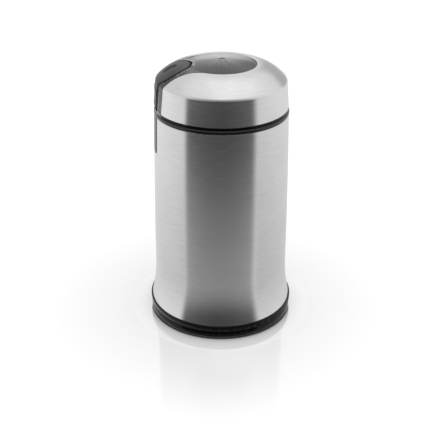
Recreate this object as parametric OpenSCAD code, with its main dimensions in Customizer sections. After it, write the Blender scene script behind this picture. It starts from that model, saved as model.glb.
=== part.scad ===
// Electric spice grinder: a waisted steel housing with a fixed grinding bowl, a blade on the
// motor's own shaft, and a lift-off lid whose front button presses a push rod onto the switch.
// Millimetres. The origin is the centre of the floor circle under the feet, +Z is up, and the
// button faces -Y.

/* [Housing] */
// Radius of the housing at its rim, just under the lid
body_r = 42.3; // [40:0.1:52]
// Height of the parting line between housing and lid above the floor
body_h = 143.2; // [125:0.1:175]
// How much wider the waist is than the rim
waist_swell = 1.7; // [0.5:0.1:3]
// Height of the waist, where the foot flare ends and the gentle taper begins
waist_z = 38; // [30:1:55]
// How much wider the foot is than the waist
foot_flare = 4; // [2:0.1:6]
// How far the base ring stands out past the shell's foot
foot_step = 0.8; // [0:0.1:1.4]
// Sheet thickness of the steel shell
shell_t = 0.8; // [0.6:0.1:1.2]
// Height of the black collar that shows between shell and lid
collar_h = 2.6; // [2:0.1:4]
// Wall of the inner frame, the collar's skirt and its neck
frame_wall = 1.8; // [1.4:0.1:2.6]

/* [Base] */
// Height of the top of the base ring above the floor
base_h = 9; // [8:0.5:14]
// How far the rubber feet stand below the base ring
foot_gap = 0.6; // [0.4:0.1:2]
// Radius of a rubber foot
foot_r = 5; // [4:0.5:7]
// Thickness of the base cover
base_cover_t = 2.2; // [1.8:0.1:3]
// Diameter of the mains cord that the inlet bush is made for
cord_d = 5; // [4:0.1:5.4]

/* [Front strip] */
// Width of the plastic strip under the button
strip_w = 20; // [14:0.5:24]
// Height of the plastic strip under the button
strip_h = 24.4; // [15:0.2:60]
// How far the strip stands proud of the shell
strip_proud = 0.2; // [0.1:0.1:1]

/* [Lid] */
// Height of the black ring at the lid's lower edge
lid_band_h = 1.7; // [1.2:0.1:3]
// Height of the lid's steel wall, from the black ring to the shoulder's crease
lid_wall_h = 16.7; // [12:0.1:24]
// How much the shoulder rises from the crease to the window's edge
shoulder_rise = 9.5; // [7:0.1:12]
// Radius of the round window in the lid
window_r = 21.5; // [18:0.5:24]
// How much the window's dome rises above its edge
dome_rise = 2.9; // [1:0.1:6]
// Sheet thickness of the steel cover
cover_t = 0.7; // [0.5:0.1:1]
// Wall of the clear lid shell
clear_wall = 2; // [1.5:0.1:2.5]

/* [Button] */
// Width of the button's foot
button_w = 16.4; // [14:0.2:20]
// Distance of the button's tip from the lid's axis
button_tip_y = 19.5; // [18:0.1:21]
// How far the button stands proud of the lid
button_proud = 0.5; // [0.3:0.1:1.2]
// Wall thickness of the button
button_t = 2; // [1.6:0.1:2.4]
// How far the button travels down
button_travel = 1.6; // [1:0.1:2]
// Width of the clear surround on each side of the button's round head
surround_w = 2.85; // [2.4:0.05:3]

/* [Bowl and blade] */
// Depth of the grinding bowl
bowl_depth = 40; // [30:1:50]
// Sheet thickness of the bowl
bowl_t = 0.8; // [0.6:0.1:1.2]
// Radius of the bowl's floor corner
bowl_corner_r = 8; // [4:1:12]
// Height of the neck that carries the bowl's rim above the parting line
neck_h = 4.3; // [3:0.1:7]
// Reach of the blade from the shaft's axis
blade_reach = 28; // [20:0.5:29]
// Width of the blade
blade_w = 9; // [8:0.5:14]
// Thickness of the blade
blade_t = 1.5; // [1:0.1:2]

/* [Motor] */
// Diameter of the motor shaft
shaft_d = 6; // [5:0.5:8]
// Radius of the armature
armature_r = 15; // [13:0.5:17]
// Radius of the commutator
commutator_r = 9; // [7:0.5:10]
// Space between the motor's lower bracket and the base cover
motor_floor_gap = 20; // [18:1:30]
// Thickness of the two motor brackets
bracket_t = 3; // [2.5:0.1:4]
// Number of armature slots
armature_slots = 12; // [8:1:16]

/* [Hidden] */
$fn = 96;
touch = 0.01;            // lets a cut run past the face that it ends at
seam = 0.1;              // gap between two fixed pieces that lie edge to edge
loose = 0.35;            // gap between the lid and what it slides over
button_gap = 1.1;        // gap round the button
thread_gap = 0.05;       // radial gap of a screw, drawn without its thread, in its hole
run_fit = 0.05;          // radial clearance of a shaft in its bearing
contact = 0.1;           // gap between the button, the push rod and the switch stem
curve_steps = 10;        // steps along each curve of an outline

// Outline of the housing
waist_r = body_r + waist_swell;
base_r = waist_r + foot_flare;
shell_top = body_h - collar_h;
flare_power = 2.3;
barrel_power = 1.8;
function flare_r(z) =
    waist_r + (foot_flare - foot_step) * pow((waist_z - z) / (waist_z - base_h), flare_power);
function barrel_r(z) =
    body_r + waist_swell * (1 - pow((z - waist_z) / (shell_top - waist_z), barrel_power));
function wall_r(z) = z < waist_z ? flare_r(max(z, base_h)) : barrel_r(min(z, shell_top));
wall_z = concat(
    [for (i = [0:curve_steps - 1]) base_h + (waist_z - base_h) * i / curve_steps],
    [for (i = [0:curve_steps]) waist_z + (shell_top - waist_z) * i / curve_steps]);

// Base
base_bottom = foot_gap;
base_ring_t = 3.4;
base_in_r = base_r - base_ring_t;
cover_bottom = base_bottom + 0.4;
cover_top = cover_bottom + base_cover_t;
ledge_t = 1.8;
ledge_w = 2.1;
ledge_top = cover_top + ledge_t;
groove_z = 5.2;
groove_w = 0.6;
lip_h = 2;
foot_circle_r = base_in_r - foot_r - 3;
foot_pocket = 1.2;
bush_wall = 1;
bush_bore_r = cord_d / 2 + 0.2;
bush_r = bush_bore_r + bush_wall;
bush_z = (base_h + base_bottom) / 2;
bush_len = 7;
bush_out_y = base_r - 0.3;
bush_in_y = bush_out_y - bush_len;

// What stands on the base cover: terminal block and capacitor
terminal_w = 18;
terminal_d = 8;
terminal_h = 9;
terminal_y = 27;
terminal_pitch = 9;
capacitor_w = 18;
capacitor_d = 8;
capacitor_h = 12;
capacitor_y = -14;
clip_t = 1.5;
clip_w = 14;
clip_h = 8;

// Inner frame, collar and neck
frame_r = body_r - shell_t - 0.5;
frame_in_r = frame_r - frame_wall;
skirt_r = body_r - shell_t - 0.2;
skirt_h = 8;
skirt_in_r = skirt_r - 1.4;
frame_neck_r = skirt_in_r - seam;
frame_shoulder = shell_top - skirt_h;
collar_r = body_r + 0.25;
neck_r = body_r - 5.3;
neck_in_r = neck_r - 1.4;
neck_top = body_h + neck_h;
bowl_out_r = neck_in_r - 0.3;
bowl_r = bowl_out_r - bowl_t;
bowl_rim_z = neck_top + bowl_t;
bowl_floor = bowl_rim_z - bowl_depth;
bowl_bottom = bowl_floor - bowl_t;
gasket_h = 2.5;
deck_t = 3;
deck_top = bowl_bottom - gasket_h;
deck_bottom = deck_top - deck_t;
screw_r = 1.5;
boss_r = 3.6;
boss_circle_r = frame_in_r - boss_r + 0.6;
boss_h = 12;
base_screw_angles = [30, 150, 270];

// Lid
lid_bottom = body_h + seam;
lid_edge = lid_bottom + lid_band_h;
lid_foot_r = body_r - 0.25;
crease_r = body_r - 1.5;
crease_z = lid_edge + lid_wall_h;
window_z = crease_z + shoulder_rise;
corner = 1.3;
shoulder_lift = 1;
function bezier(a, b, c, t) = pow(1 - t, 2) * a + 2 * (1 - t) * t * b + t * t * c;
crease = [crease_r, crease_z];
window_edge = [window_r, window_z];
shoulder_pull = [
    window_r + 0.52 * (crease_r - window_r),
    window_z - (1 - shoulder_lift) * shoulder_rise];
corner_in = crease - [0, corner];
corner_out = crease + corner * (shoulder_pull - crease) / norm(shoulder_pull - crease);
lid_wall_line = [[lid_foot_r, lid_edge]];
corner_line = [for (t = [0:0.25:0.75]) bezier(corner_in, crease, corner_out, t)];
shoulder_line = [for (i = [0:curve_steps])
    bezier(corner_out, shoulder_pull, window_edge, i / curve_steps)];
dome_line = [for (i = [1:6])
    [window_r * (1 - i / 6), window_z + dome_rise * (1 - pow(1 - i / 6, 2))]];
lid_line = concat(lid_wall_line, corner_line, shoulder_line, dome_line);
// A line moved inwards by d along its own normals: the tangent comes from the two neighbours, and
// the first point moves level and the last one plumb
function inset(line, d) = [for (i = [0:len(line) - 1])
    let (along = i == 0 ? [0, 1] : i == len(line) - 1 ? [-1, 0] : line[i + 1] - line[i - 1])
    line[i] + d * [-along[1], along[0]] / norm(along)];
function lowered(line, d) = [for (p = line) p - [0, d]];
function reversed(line) = [for (i = [len(line) - 1:-1:0]) line[i]];
function left_of(line, r) = [for (p = line) if (p[0] < r) p];
clear_in = cover_t + 0.05;
inner_skirt_r = neck_r + loose;
inner_skirt_t = 1.2;
inner_skirt_bottom = body_h + 0.3;
lid_outer_wall_r = inner_skirt_r + inner_skirt_t;

// Button, the well that it sits in, and its presser
button_bottom = lid_bottom + button_travel + 1.5;
surround_bar_h = 1.2;
head_r = 0.75 * button_w;
channel_w = head_r + button_gap + surround_w;
channel_fillet = 30;
button_under = button_t - button_proud;
well_drop = button_travel + 0.4;
well_floor_t = 1.6;
well_wall = 1.6;
presser_in_r = lid_outer_wall_r + 0.15;
presser_t = 1.5;
presser_w = button_w + 5;
presser_bottom = body_h + button_travel + 0.3;
presser_top = crease_z - 4;
spring_y = 30;
spring_wire = 0.5;
spring_r = 2;
spring_top = window_z - 4.4;
cup_floor = spring_top - 6.5;
cup_r = spring_r + 0.9;
cup_wall = 1.2;

// Push rod and switch
rod_r = presser_in_r;
rod_t = presser_t;
rod_w = 11;
rod_gap = 0.3;
rod_top = presser_bottom - contact;
foot_t = 2.5;
foot_in = 7.5;
rod_foot_z = deck_bottom - 4;
switch_w = 20;
switch_d = 6;
switch_h = 10;
switch_screw_r = 0.9;
stem_r = 1.4;
stem_h = 2.2;
stem_top = rod_foot_z - contact;
switch_top = stem_top - stem_h;
switch_x = -4;
stem_x = 3;
switch_y = rod_r - foot_in + 0.5;

// Motor
motor_gap = 6.2;
stator_r = frame_in_r - motor_gap;
stator_flat = stator_r - 4;
stator_window_r = stator_r - 6;
air_gap = 0.3;
pole_in_r = armature_r + air_gap;
pole_shoe_t = 2;
pole_w = 13;
post_r = 3;
post_x = stator_r - 3;
motor_screw_r = 1.8;
damper_h = 4;
damper_r = 5;
damper_x = stator_r - 12;
top_bracket_z = deck_bottom - damper_h - bracket_t;
coil_over = 7;
post_h = coil_over + 3;
stack_top = top_bracket_z - post_h;
low_bracket_z = cover_top + motor_floor_gap;
commutator_h = 12;
end_turn_h = 8;
commutator_gap = 1;
low_space = end_turn_h + commutator_gap + commutator_h + 3;
stack_bottom = low_bracket_z + bracket_t + low_space;
stack_h = stack_top - stack_bottom;
commutator_top = stack_bottom - end_turn_h - commutator_gap;
bearing_r = shaft_d / 2 + 4.5;
bearing_h = 6;
boss_wall = 2;
shaft_r = shaft_d / 2;
shaft_bottom = low_bracket_z - 4;
brush_s = 5;
brush_len = 10;
brush_z = commutator_top - commutator_h / 2;
brush_in = commutator_r + run_fit;
holder_wall = 1.6;
holder_in = commutator_r + 2.5;
holder_out = 26;
holder_s = brush_s + 0.2 + 2 * holder_wall;
seal_r = shaft_r + 4;
seal_flange_r = seal_r + 2.5;
seal_flange_t = 1.5;
blade_z = bowl_floor + 6;
nut_flat_r = 5;
nut_h = 4.5;
shaft_top = blade_z + blade_t + nut_h - 1.5;

// ---- Helpers -------------------------------------------------------------------------------

// A ring of the given inner and outer radius from z0 to z1
module ring(r_in, r_out, z0, z1)
    translate([0, 0, z0])
        difference() {
            cylinder(r = r_out, h = z1 - z0);
            translate([0, 0, -1]) cylinder(r = r_in, h = z1 - z0 + 2);
        }

module rod(r, z0, z1) translate([0, 0, z0]) cylinder(r = r, h = z1 - z0);

module both_sides() {
    children();
    mirror([1, 0, 0]) children();
}

// A block between two opposite corners
module block(low, high) translate(low) cube(high - low);

// The sleeve between radii wall_r(z) - inside and wall_r(z) + outside, from z0 to z1
module sleeve(inside, outside, z0, z1) {
    heights = concat([z0], [for (z = wall_z) if (z > z0 + 1 && z < z1 - 1) z], [z1]);
    rotate_extrude()
        polygon(concat(
            [for (z = heights) [wall_r(z) + outside, z]],
            [for (z = reversed(heights)) [wall_r(z) - inside, z]]));
}

// The lid's skin between two depths below its outer line
module skin(near, far) {
    rotate_extrude()
        polygon(concat(inset(lid_line, near), reversed(inset(lid_line, far))));
}

// The closed tube through rings 0 to last of side points each, in triangles
module swept(points, side_count, last) {
    walls = [for (i = [0:last - 1], k = [0:side_count - 1], half = [0, 1])
        let (k2 = (k + 1) % side_count, a = i * side_count, b = a + side_count)
        half == 0 ? [a + k, a + k2, b + k2] : [a + k, b + k2, b + k]];
    start = [for (k = [side_count - 1:-1:0]) k];
    end = [for (k = [0:side_count - 1]) last * side_count + k];
    polyhedron(points, concat([start], walls, [end]), convexity = 10);
}

// A coil spring of round wire standing on z0, swept as rings of wire_sides points
module coil(r, wire_r, z0, z1, turns) {
    wire_sides = 6;
    turn_steps = 10;
    last = turns * turn_steps;
    lift = (z1 - z0 - 2 * wire_r) / last;
    points = [for (i = [0:last], k = [0:wire_sides - 1])
        let (a = 360 * i / turn_steps, b = 360 * k / wire_sides)
        [(r + wire_r * cos(b)) * cos(a), (r + wire_r * cos(b)) * sin(a),
            z0 + wire_r + lift * i + wire_r * sin(b)]];
    swept(points, wire_sides, last);
}

// A wire swept along its points, as rings of eight points square to the way it runs. across is
// any direction that no stretch of the wire runs along.
module lead(path, wire_r, across) {
    sides = 8;
    last = len(path) - 1;
    points = [for (i = [0:last], k = [0:sides - 1])
        let (way = path[min(i + 1, last)] - path[max(i - 1, 0)],
            w = way / norm(way),
            u = cross(w, across) / norm(cross(w, across)),
            v = cross(w, u),
            a = 360 * k / sides)
        path[i] + wire_r * (cos(a) * u - sin(a) * v)];
    swept(points, sides, last);
}

// ---- Base ----------------------------------------------------------------------------------

module at_feet()
    for (a = [45:90:315]) rotate(a) translate([foot_circle_r, 0, 0]) children();

module at_base_screws()
    for (a = base_screw_angles) rotate(a) translate([boss_circle_r, 0, 0]) children();

module rubber_feet()
    color([0.08, 0.08, 0.09])
        at_feet() cylinder(r = foot_r, h = cover_bottom + foot_pocket);

module base_cover() {
    vent_w = 2.4;
    vent_len = 22;
    vent_pitch = 6;
    vent_y = 8;
    color([0.1, 0.1, 0.11])
        difference() {
            union() {
                rod(base_in_r - seam, cover_bottom, cover_top);
                // Clip walls that hold the capacitor on its edge
                for (s = [-1, 1])
                    translate([0, capacitor_y + s * (capacitor_d + clip_t) / 2, cover_top - touch])
                        translate([-clip_w / 2, -clip_t / 2, 0]) cube([clip_w, clip_t, clip_h]);
            }
            at_feet() translate([0, 0, -touch])
                cylinder(r = foot_r + seam, h = cover_bottom + foot_pocket + touch);
            at_base_screws() {
                translate([0, 0, -1]) cylinder(r = screw_r + 0.2, h = 10);
                translate([0, 0, -1]) cylinder(r = screw_r + 1.9, h = cover_bottom + 2);
            }
            for (i = [-2:2])
                block([i * vent_pitch - vent_w / 2, vent_y - vent_len / 2, -1],
                    [i * vent_pitch + vent_w / 2, vent_y + vent_len / 2, cover_top + 1]);
            translate([0, bush_in_y - 0.3, bush_z]) rotate([-90, 0, 0])
                cylinder(r = bush_r + seam, h = base_r);
        }
}

module base_ring() {
    low_r = base_r - 0.35;
    groove_r = low_r - 0.6;
    edge = 0.5;
    color([0.05, 0.05, 0.055])
        difference() {
            rotate_extrude()
                polygon([
                    [base_in_r, base_bottom], [low_r - edge, base_bottom],
                    [low_r, base_bottom + edge], [low_r, groove_z - groove_w / 2],
                    [groove_r, groove_z - groove_w / 2], [groove_r, groove_z + groove_w / 2],
                    [base_r, groove_z + groove_w / 2], [base_r, base_h - edge / 2],
                    [base_r - edge / 2, base_h],
                    [base_in_r + 1.2, base_h], [base_in_r + 1.2, base_h + lip_h],
                    [base_in_r, base_h + lip_h], [base_in_r, ledge_top],
                    [base_in_r - ledge_w, ledge_top], [base_in_r - ledge_w, cover_top],
                    [base_in_r, cover_top]]);
            translate([0, base_in_r - 3, bush_z]) rotate([-90, 0, 0])
                cylinder(r = bush_r + 0.02, h = base_ring_t + 6);
        }
}

module base_screws()
    color([0.6, 0.6, 0.62])
        at_base_screws() {
            translate([0, 0, cover_bottom + 0.2]) cylinder(r = 2.7, h = 0.8);
            translate([0, 0, cover_bottom + 1]) cylinder(r = screw_r, h = 9);
        }

// The bush that the mains cord comes out of
module cord_bush()
    color([0.09, 0.09, 0.1])
        translate([0, bush_in_y, bush_z]) rotate([-90, 0, 0])
            difference() {
                cylinder(r = bush_r, h = bush_len);
                translate([0, 0, -1]) cylinder(r = bush_bore_r, h = bush_len + 2);
            }

// ---- Housing -------------------------------------------------------------------------------

// The front strip's outline seen from the front, as a bar along -Y; grow is its clearance
module strip_bar(grow) {
    round_r = 3;
    w = strip_w / 2 + grow;
    z0 = shell_top - strip_h - grow;
    translate([0, -body_r + 10, 0]) rotate([90, 0, 0])
        linear_extrude(height = 20)
            union() {
                translate([-w, z0 + round_r]) square([2 * w, strip_h]);
                translate([-w + round_r, z0]) square([2 * (w - round_r), round_r + 1]);
                for (s = [-1, 1])
                    translate([s * (w - round_r), z0 + round_r]) circle(round_r);
            }
}

module housing_shell()
    color([0.72, 0.72, 0.73])
        difference() {
            sleeve(shell_t, 0, base_h, shell_top);
            strip_bar(seam);
        }

module front_strip()
    color([0.06, 0.06, 0.065]) {
        flange_top = frame_shoulder - 1.5;
        flange_low = shell_top - strip_h - 1.6;
        intersection() {
            strip_bar(0);
            sleeve(shell_t + 0.15, strip_proud, shell_top - strip_h - 2, shell_top - 0.05);
        }
        intersection() {
            block([-strip_w / 2 - 1.5, -base_r, flange_low], [strip_w / 2 + 1.5, 0, flange_top]);
            sleeve(shell_t + 0.5, -shell_t - 0.08, flange_low, flange_top);
        }
    }

// The opening that the push rod slides in, through collar and frame
module rod_slot(z0, z1)
    intersection() {
        ring(rod_r - rod_gap, rod_r + rod_t + rod_gap, z0, z1);
        block([-rod_w / 2 - rod_gap, -base_r, z0 - 1], [rod_w / 2 + rod_gap, 0, z1 + 1]);
    }

module top_collar() {
    edge = 0.6;
    color([0.05, 0.05, 0.055])
        difference() {
            rotate_extrude()
                polygon([
                    [neck_in_r, shell_top], [skirt_in_r, shell_top],
                    [skirt_in_r, frame_shoulder], [skirt_r, frame_shoulder],
                    [skirt_r, shell_top], [collar_r - edge / 2, shell_top],
                    [collar_r, shell_top + edge / 2], [collar_r, body_h - edge],
                    [collar_r - edge, body_h], [neck_r, body_h],
                    [neck_r, neck_top], [neck_in_r, neck_top]]);
            rod_slot(frame_shoulder - 1, body_h + 1);
        }
}

module inner_frame() {
    slot_low = rod_foot_z - button_travel - 1.5;
    shelf_y = switch_y + switch_d / 2;
    color([0.16, 0.16, 0.17])
        difference() {
            union() {
                ring(frame_in_r, frame_r, ledge_top, frame_shoulder);
                ring(frame_in_r, base_in_r - seam, ledge_top, ledge_top + 1.6);
                ring(frame_neck_r - 1.6, frame_neck_r, frame_shoulder - 2, shell_top);
                rod(frame_in_r + 0.5, deck_bottom, deck_top);
                at_base_screws() difference() {
                    rod(boss_r, cover_top, cover_top + boss_h);
                    rod(screw_r + thread_gap, cover_top - 1, cover_top + boss_h - 2);
                }
                // Pad that the switch is screwed to
                intersection() {
                    rod(frame_in_r + 0.5, switch_top - switch_h, switch_top);
                    block([switch_x - switch_w / 2, -frame_r, switch_top - switch_h],
                        [switch_x + switch_w / 2, -shelf_y, switch_top]);
                }
                // Seat of the push rod's return spring
                intersection() {
                    rod(frame_in_r + 0.5, rod_foot_z - 12, rod_foot_z - 10);
                    block([8, -frame_r, rod_foot_z - 12], [16, -shelf_y + 6.2, rod_foot_z - 10]);
                }
            }
            rod_slot(slot_low, shell_top + 1);
            rod(seal_r + 0.3, deck_bottom - 1, deck_top + 1);
            for (x = [-1, 1]) translate([x * damper_x, 0, 0])
                rod(screw_r + thread_gap, deck_bottom - 1, deck_top - 0.6);
            for (x = [-1, 1]) translate([switch_x + x * 6, -shelf_y, switch_top - switch_h / 2])
                rotate([90, 0, 0]) cylinder(r = switch_screw_r + thread_gap, h = 2);
            // Way through for the cord bush and its wires
            translate([0, frame_in_r - 2, bush_z + 1]) rotate([-90, 0, 0])
                cylinder(r = bush_r + 0.6, h = 12);
        }
}

module grinding_bowl() {
    c = bowl_corner_r;
    n = 6;
    inner_arc = [for (i = [0:n])
        [bowl_r - c + c * cos(90 * i / n), bowl_floor + c - c * sin(90 * i / n)]];
    outer_arc = [for (i = [n:-1:0])
        [bowl_r - c + (c + bowl_t) * cos(90 * i / n), bowl_floor + c - (c + bowl_t) * sin(90 * i / n)]];
    color([0.78, 0.78, 0.8])
        rotate_extrude()
            polygon(concat(
                [[bowl_r, bowl_rim_z]], inner_arc,
                [[seal_r + seam / 2, bowl_floor], [seal_r + seam / 2, bowl_bottom]], outer_arc,
                [[bowl_out_r, neck_top], [neck_r - 0.1, neck_top], [neck_r - 0.1, bowl_rim_z]]));
}

module bowl_gasket()
    color([0.3, 0.3, 0.31]) ring(20, 25, deck_top, bowl_bottom);

module shaft_seal()
    color([0.12, 0.12, 0.12])
        difference() {
            union() {
                rod(seal_r, deck_bottom - 0.3, bowl_floor);
                rod(seal_flange_r, bowl_floor, bowl_floor + seal_flange_t);
            }
            rod(shaft_r + run_fit, deck_bottom - 2, bowl_floor + seal_flange_t + 1);
        }

// ---- Motor, the part that stands still ------------------------------------------------------

module at_posts() for (x = [-1, 1]) translate([x * post_x, 0, 0]) children();

// A bracket: a bar with a bearing boss; up is the boss's height above or below the bar
module bracket(z, boss_z, boss_h) {
    difference() {
        union() {
            block([-post_x, -7, z], [post_x, 7, z + bracket_t]);
            at_posts() rod(7, z, z + bracket_t);
            rod(bearing_r + boss_wall, boss_z, boss_z + boss_h);
            children();
        }
        rod(bearing_r, boss_z - 1, boss_z + boss_h + 1);
        at_posts() rod(motor_screw_r + 0.2, 0, body_h);
    }
}

module upper_bracket()
    color([0.7, 0.7, 0.7])
        difference() {
            bracket(top_bracket_z, top_bracket_z, bearing_h + 0.5)
                at_posts() rod(post_r + 1, stack_top, top_bracket_z + 1);
            for (x = [-1, 1]) translate([x * damper_x, 0, 0])
                rod(screw_r + 0.2, top_bracket_z - 1, top_bracket_z + bracket_t + 1);
        }

module lower_bracket()
    color([0.7, 0.7, 0.7])
        bracket(low_bracket_z, low_bracket_z - 3, bearing_h + 1) {
            at_posts() rod(post_r + 1, low_bracket_z + 1, stack_bottom);
            block([-6, -holder_out, low_bracket_z], [6, holder_out, low_bracket_z + bracket_t]);
        }

module bearing(z)
    color([0.75, 0.62, 0.35]) ring(shaft_r + run_fit, bearing_r, z, z + bearing_h);

module upper_bearing() bearing(top_bracket_z + 0.3);

module lower_bearing() bearing(low_bracket_z - 2.5);

module motor_dampers()
    color([0.1, 0.1, 0.1])
        for (x = [-1, 1]) translate([x * damper_x, 0, 0])
            ring(screw_r + 0.2, damper_r, top_bracket_z + bracket_t, deck_bottom);

module damper_screws()
    color([0.6, 0.6, 0.62])
        for (x = [-1, 1]) translate([x * damper_x, 0, 0]) {
            rod(3, top_bracket_z - 1.8, top_bracket_z);
            rod(screw_r, top_bracket_z - touch, deck_top - 0.8);
        }

module pole_plan() {
    square([pole_w, 2 * stator_window_r + 2], center = true);
    intersection() {
        circle(pole_in_r + pole_shoe_t);
        union() {
            rotate(0) polygon([[0, 0], [14, 22], [-14, 22]]);
            rotate(180) polygon([[0, 0], [14, 22], [-14, 22]]);
        }
    }
}

module stator_core()
    color([0.42, 0.42, 0.44])
        difference() {
            translate([0, 0, stack_bottom])
                linear_extrude(height = stack_h)
                    difference() {
                        intersection() {
                            circle(stator_r);
                            square([3 * stator_r, 2 * stator_flat], center = true);
                        }
                        difference() {
                            circle(stator_window_r);
                            pole_plan();
                        }
                    }
            rod(pole_in_r, stack_bottom - 1, stack_top + 1);
            at_posts() rod(motor_screw_r + 0.2, stack_bottom - 1, stack_top + 1);
        }

// Each field coil is a closed loop round the neck of its pole
module field_coils() {
    coil_in = pole_in_r + pole_shoe_t + 0.4;
    coil_out = stator_window_r - 3;
    coil_w = 5;
    color([0.72, 0.35, 0.15])
        for (turn = [0, 180])
            rotate(turn)
                difference() {
                    block([-pole_w / 2 - coil_w, coil_in, stack_bottom - coil_over + 1],
                        [pole_w / 2 + coil_w, coil_out, stack_top + coil_over - 1]);
                    block([-pole_w / 2 - 0.2, coil_in - 1, stack_bottom - 0.2],
                        [pole_w / 2 + 0.2, coil_out + 1, stack_top + 0.2]);
                }
}

module motor_screws()
    color([0.6, 0.6, 0.62])
        at_posts() {
            rod(motor_screw_r, low_bracket_z - 2.2, top_bracket_z + bracket_t);
            rod(3.4, low_bracket_z - 2.2, low_bracket_z);
        }

module at_brushes() for (a = [0, 180]) rotate(a) children();

module brush_holders()
    color([0.35, 0.25, 0.12])
        at_brushes()
            difference() {
                block([-holder_s / 2, holder_in, low_bracket_z + bracket_t],
                    [holder_s / 2, holder_out, brush_z + holder_s / 2]);
                block([-brush_s / 2 - 0.1, holder_in - 1, brush_z - brush_s / 2 - 0.1],
                    [brush_s / 2 + 0.1, holder_out - holder_wall, brush_z + brush_s / 2 + 0.1]);
            }

module carbon_brushes()
    color([0.15, 0.15, 0.16])
        at_brushes()
            difference() {
                block([-brush_s / 2, 0, brush_z - brush_s / 2],
                    [brush_s / 2, brush_in + brush_len, brush_z + brush_s / 2]);
                rod(brush_in, brush_z - brush_s, brush_z + brush_s);
            }

module brush_springs()
    color([0.7, 0.7, 0.7])
        at_brushes()
            translate([0, brush_in + brush_len, brush_z]) rotate([-90, 0, 0])
                coil(1.7, 0.25, 0, holder_out - holder_wall - brush_in - brush_len, 5);

// ---- Switch, capacitor and terminals --------------------------------------------------------

module mains_switch()
    color([0.12, 0.12, 0.13])
        difference() {
            union() {
                block([switch_x - switch_w / 2, -switch_y - switch_d / 2, switch_top - switch_h],
                    [switch_x + switch_w / 2, -switch_y + switch_d / 2, switch_top]);
                // Three blade terminals under the case
                for (x = [-7, 0, 7])
                    block([switch_x + x - 1.4, -switch_y - 0.3, switch_top - switch_h - 4],
                        [switch_x + x + 1.4, -switch_y + 0.3, switch_top - switch_h + touch]);
            }
            for (x = [-1, 1])
                translate([switch_x + x * 6, -switch_y - 5, switch_top - switch_h / 2])
                    rotate([-90, 0, 0]) cylinder(r = 1.2, h = 10);
            translate([stem_x, -switch_y, 0]) rod(stem_r + 0.1, switch_top - 5, switch_top + 1);
        }

module switch_screws()
    color([0.6, 0.6, 0.62])
        for (x = [-1, 1])
            translate([switch_x + x * 6, -switch_y + switch_d / 2, switch_top - switch_h / 2])
                rotate([90, 0, 0]) {
                    translate([0, 0, -1]) cylinder(r = 2, h = 1);
                    cylinder(r = switch_screw_r, h = switch_d + 1.4);
                }

module suppression_capacitor()
    color([0.75, 0.65, 0.2])
        block([-capacitor_w / 2, capacitor_y - capacitor_d / 2, cover_top],
            [capacitor_w / 2, capacitor_y + capacitor_d / 2, cover_top + capacitor_h]);

module terminal_block()
    color([0.85, 0.85, 0.83])
        difference() {
            block([-terminal_w / 2, terminal_y - terminal_d / 2, cover_top],
                [terminal_w / 2, terminal_y + terminal_d / 2, cover_top + terminal_h]);
            for (x = [-terminal_pitch / 2, terminal_pitch / 2]) translate([x, terminal_y, 0])
                rod(1.8, cover_top + 4, cover_top + terminal_h + 1);
        }

// Insulated leads: terminals to switch, switch to coil, coil to brush and capacitor
module motor_leads() {
    wire = 0.8;
    side = frame_in_r - 1.6;
    beside = stator_flat + 2;
    low = cover_top + wire + 0.1;
    start_x = terminal_w / 2 + 0.1;
    start_z = low + 4;
    pin_z = switch_top - switch_h - 4;
    pin_x = switch_x + 7;
    far_pin_x = switch_x - 7;
    coil_x = pole_w / 2 + 2.5;
    coil_y = stator_window_r - 4.2;
    coil_z = stack_bottom - coil_over + 1;
    color([0.55, 0.1, 0.08]) {
        // Along the floor of the base, then up beside the frame's wall to the switch
        lead([[start_x, terminal_y, start_z], [start_x + 3, terminal_y, start_z],
            [18, terminal_y - 4, low + 2], [23, terminal_y - 10, low + 2], [27, 8, low + 3],
            [side - 3, 0, low + 8], [side - 3, -7, low + 16], [side - 4, -15, low + 28],
            [side - 7.5, -21.5, low + 40], [21, -beside, low + 52],
            [12, -beside - 2, pin_z - 9], [pin_x + 3, -switch_y, pin_z - 4.5],
            [pin_x, -switch_y, pin_z - 1.2], [pin_x, -switch_y, pin_z]], wire, [1, 1, 0]);
        // From the terminals up the other side to the rear field coil
        lead([[-start_x, terminal_y, start_z], [-start_x - 3, terminal_y, start_z],
            [-18, terminal_y - 2, low + 8], [-20, terminal_y, low + 16],
            [-20, coil_y + 5.5, coil_z - 6], [-15, coil_y + 4.5, coil_z - 4.5],
            [-coil_x, coil_y, coil_z - 3], [-coil_x, coil_y, coil_z]], wire, [0, 1, 0]);
        // From the switch down to the front field coil
        lead([[far_pin_x, -switch_y, pin_z], [far_pin_x, -switch_y, pin_z - 3],
            [far_pin_x, -switch_y + 1, pin_z - 5], [far_pin_x - 2, -beside + 0.5, stack_bottom + 8],
            [far_pin_x - 2, -beside + 0.5, stack_bottom - 3], [-12, -coil_y - 4.5, coil_z - 3],
            [-coil_x, -coil_y, coil_z - 3.5], [-coil_x, -coil_y, coil_z]], wire, [1, 0, 0]);
    }
}

// ---- Rotor ----------------------------------------------------------------------------------

module motor_shaft()
    color([0.7, 0.7, 0.72]) rod(shaft_r, shaft_bottom, shaft_top);

module armature_core() {
    slot_r = 1.6;
    color([0.45, 0.45, 0.47])
        difference() {
            rod(armature_r, stack_bottom, stack_top);
            for (i = [0:armature_slots - 1])
                rotate(360 * i / armature_slots) {
                    translate([armature_r - slot_r - 1, 0, 0])
                        rod(slot_r, stack_bottom - 1, stack_top + 1);
                    block([armature_r - slot_r - 1, -0.6, stack_bottom - 1],
                        [armature_r + 1, 0.6, stack_top + 1]);
                }
            rod(shaft_r, stack_bottom - 1, stack_top + 1);
        }
}

module end_turn()
    rotate_extrude()
        polygon([[shaft_r, 0], [armature_r - 0.8, 0], [armature_r - 0.8, 4],
            [armature_r - 3, 7], [shaft_r + 3, end_turn_h - 0.5], [shaft_r, 7]]);

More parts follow.
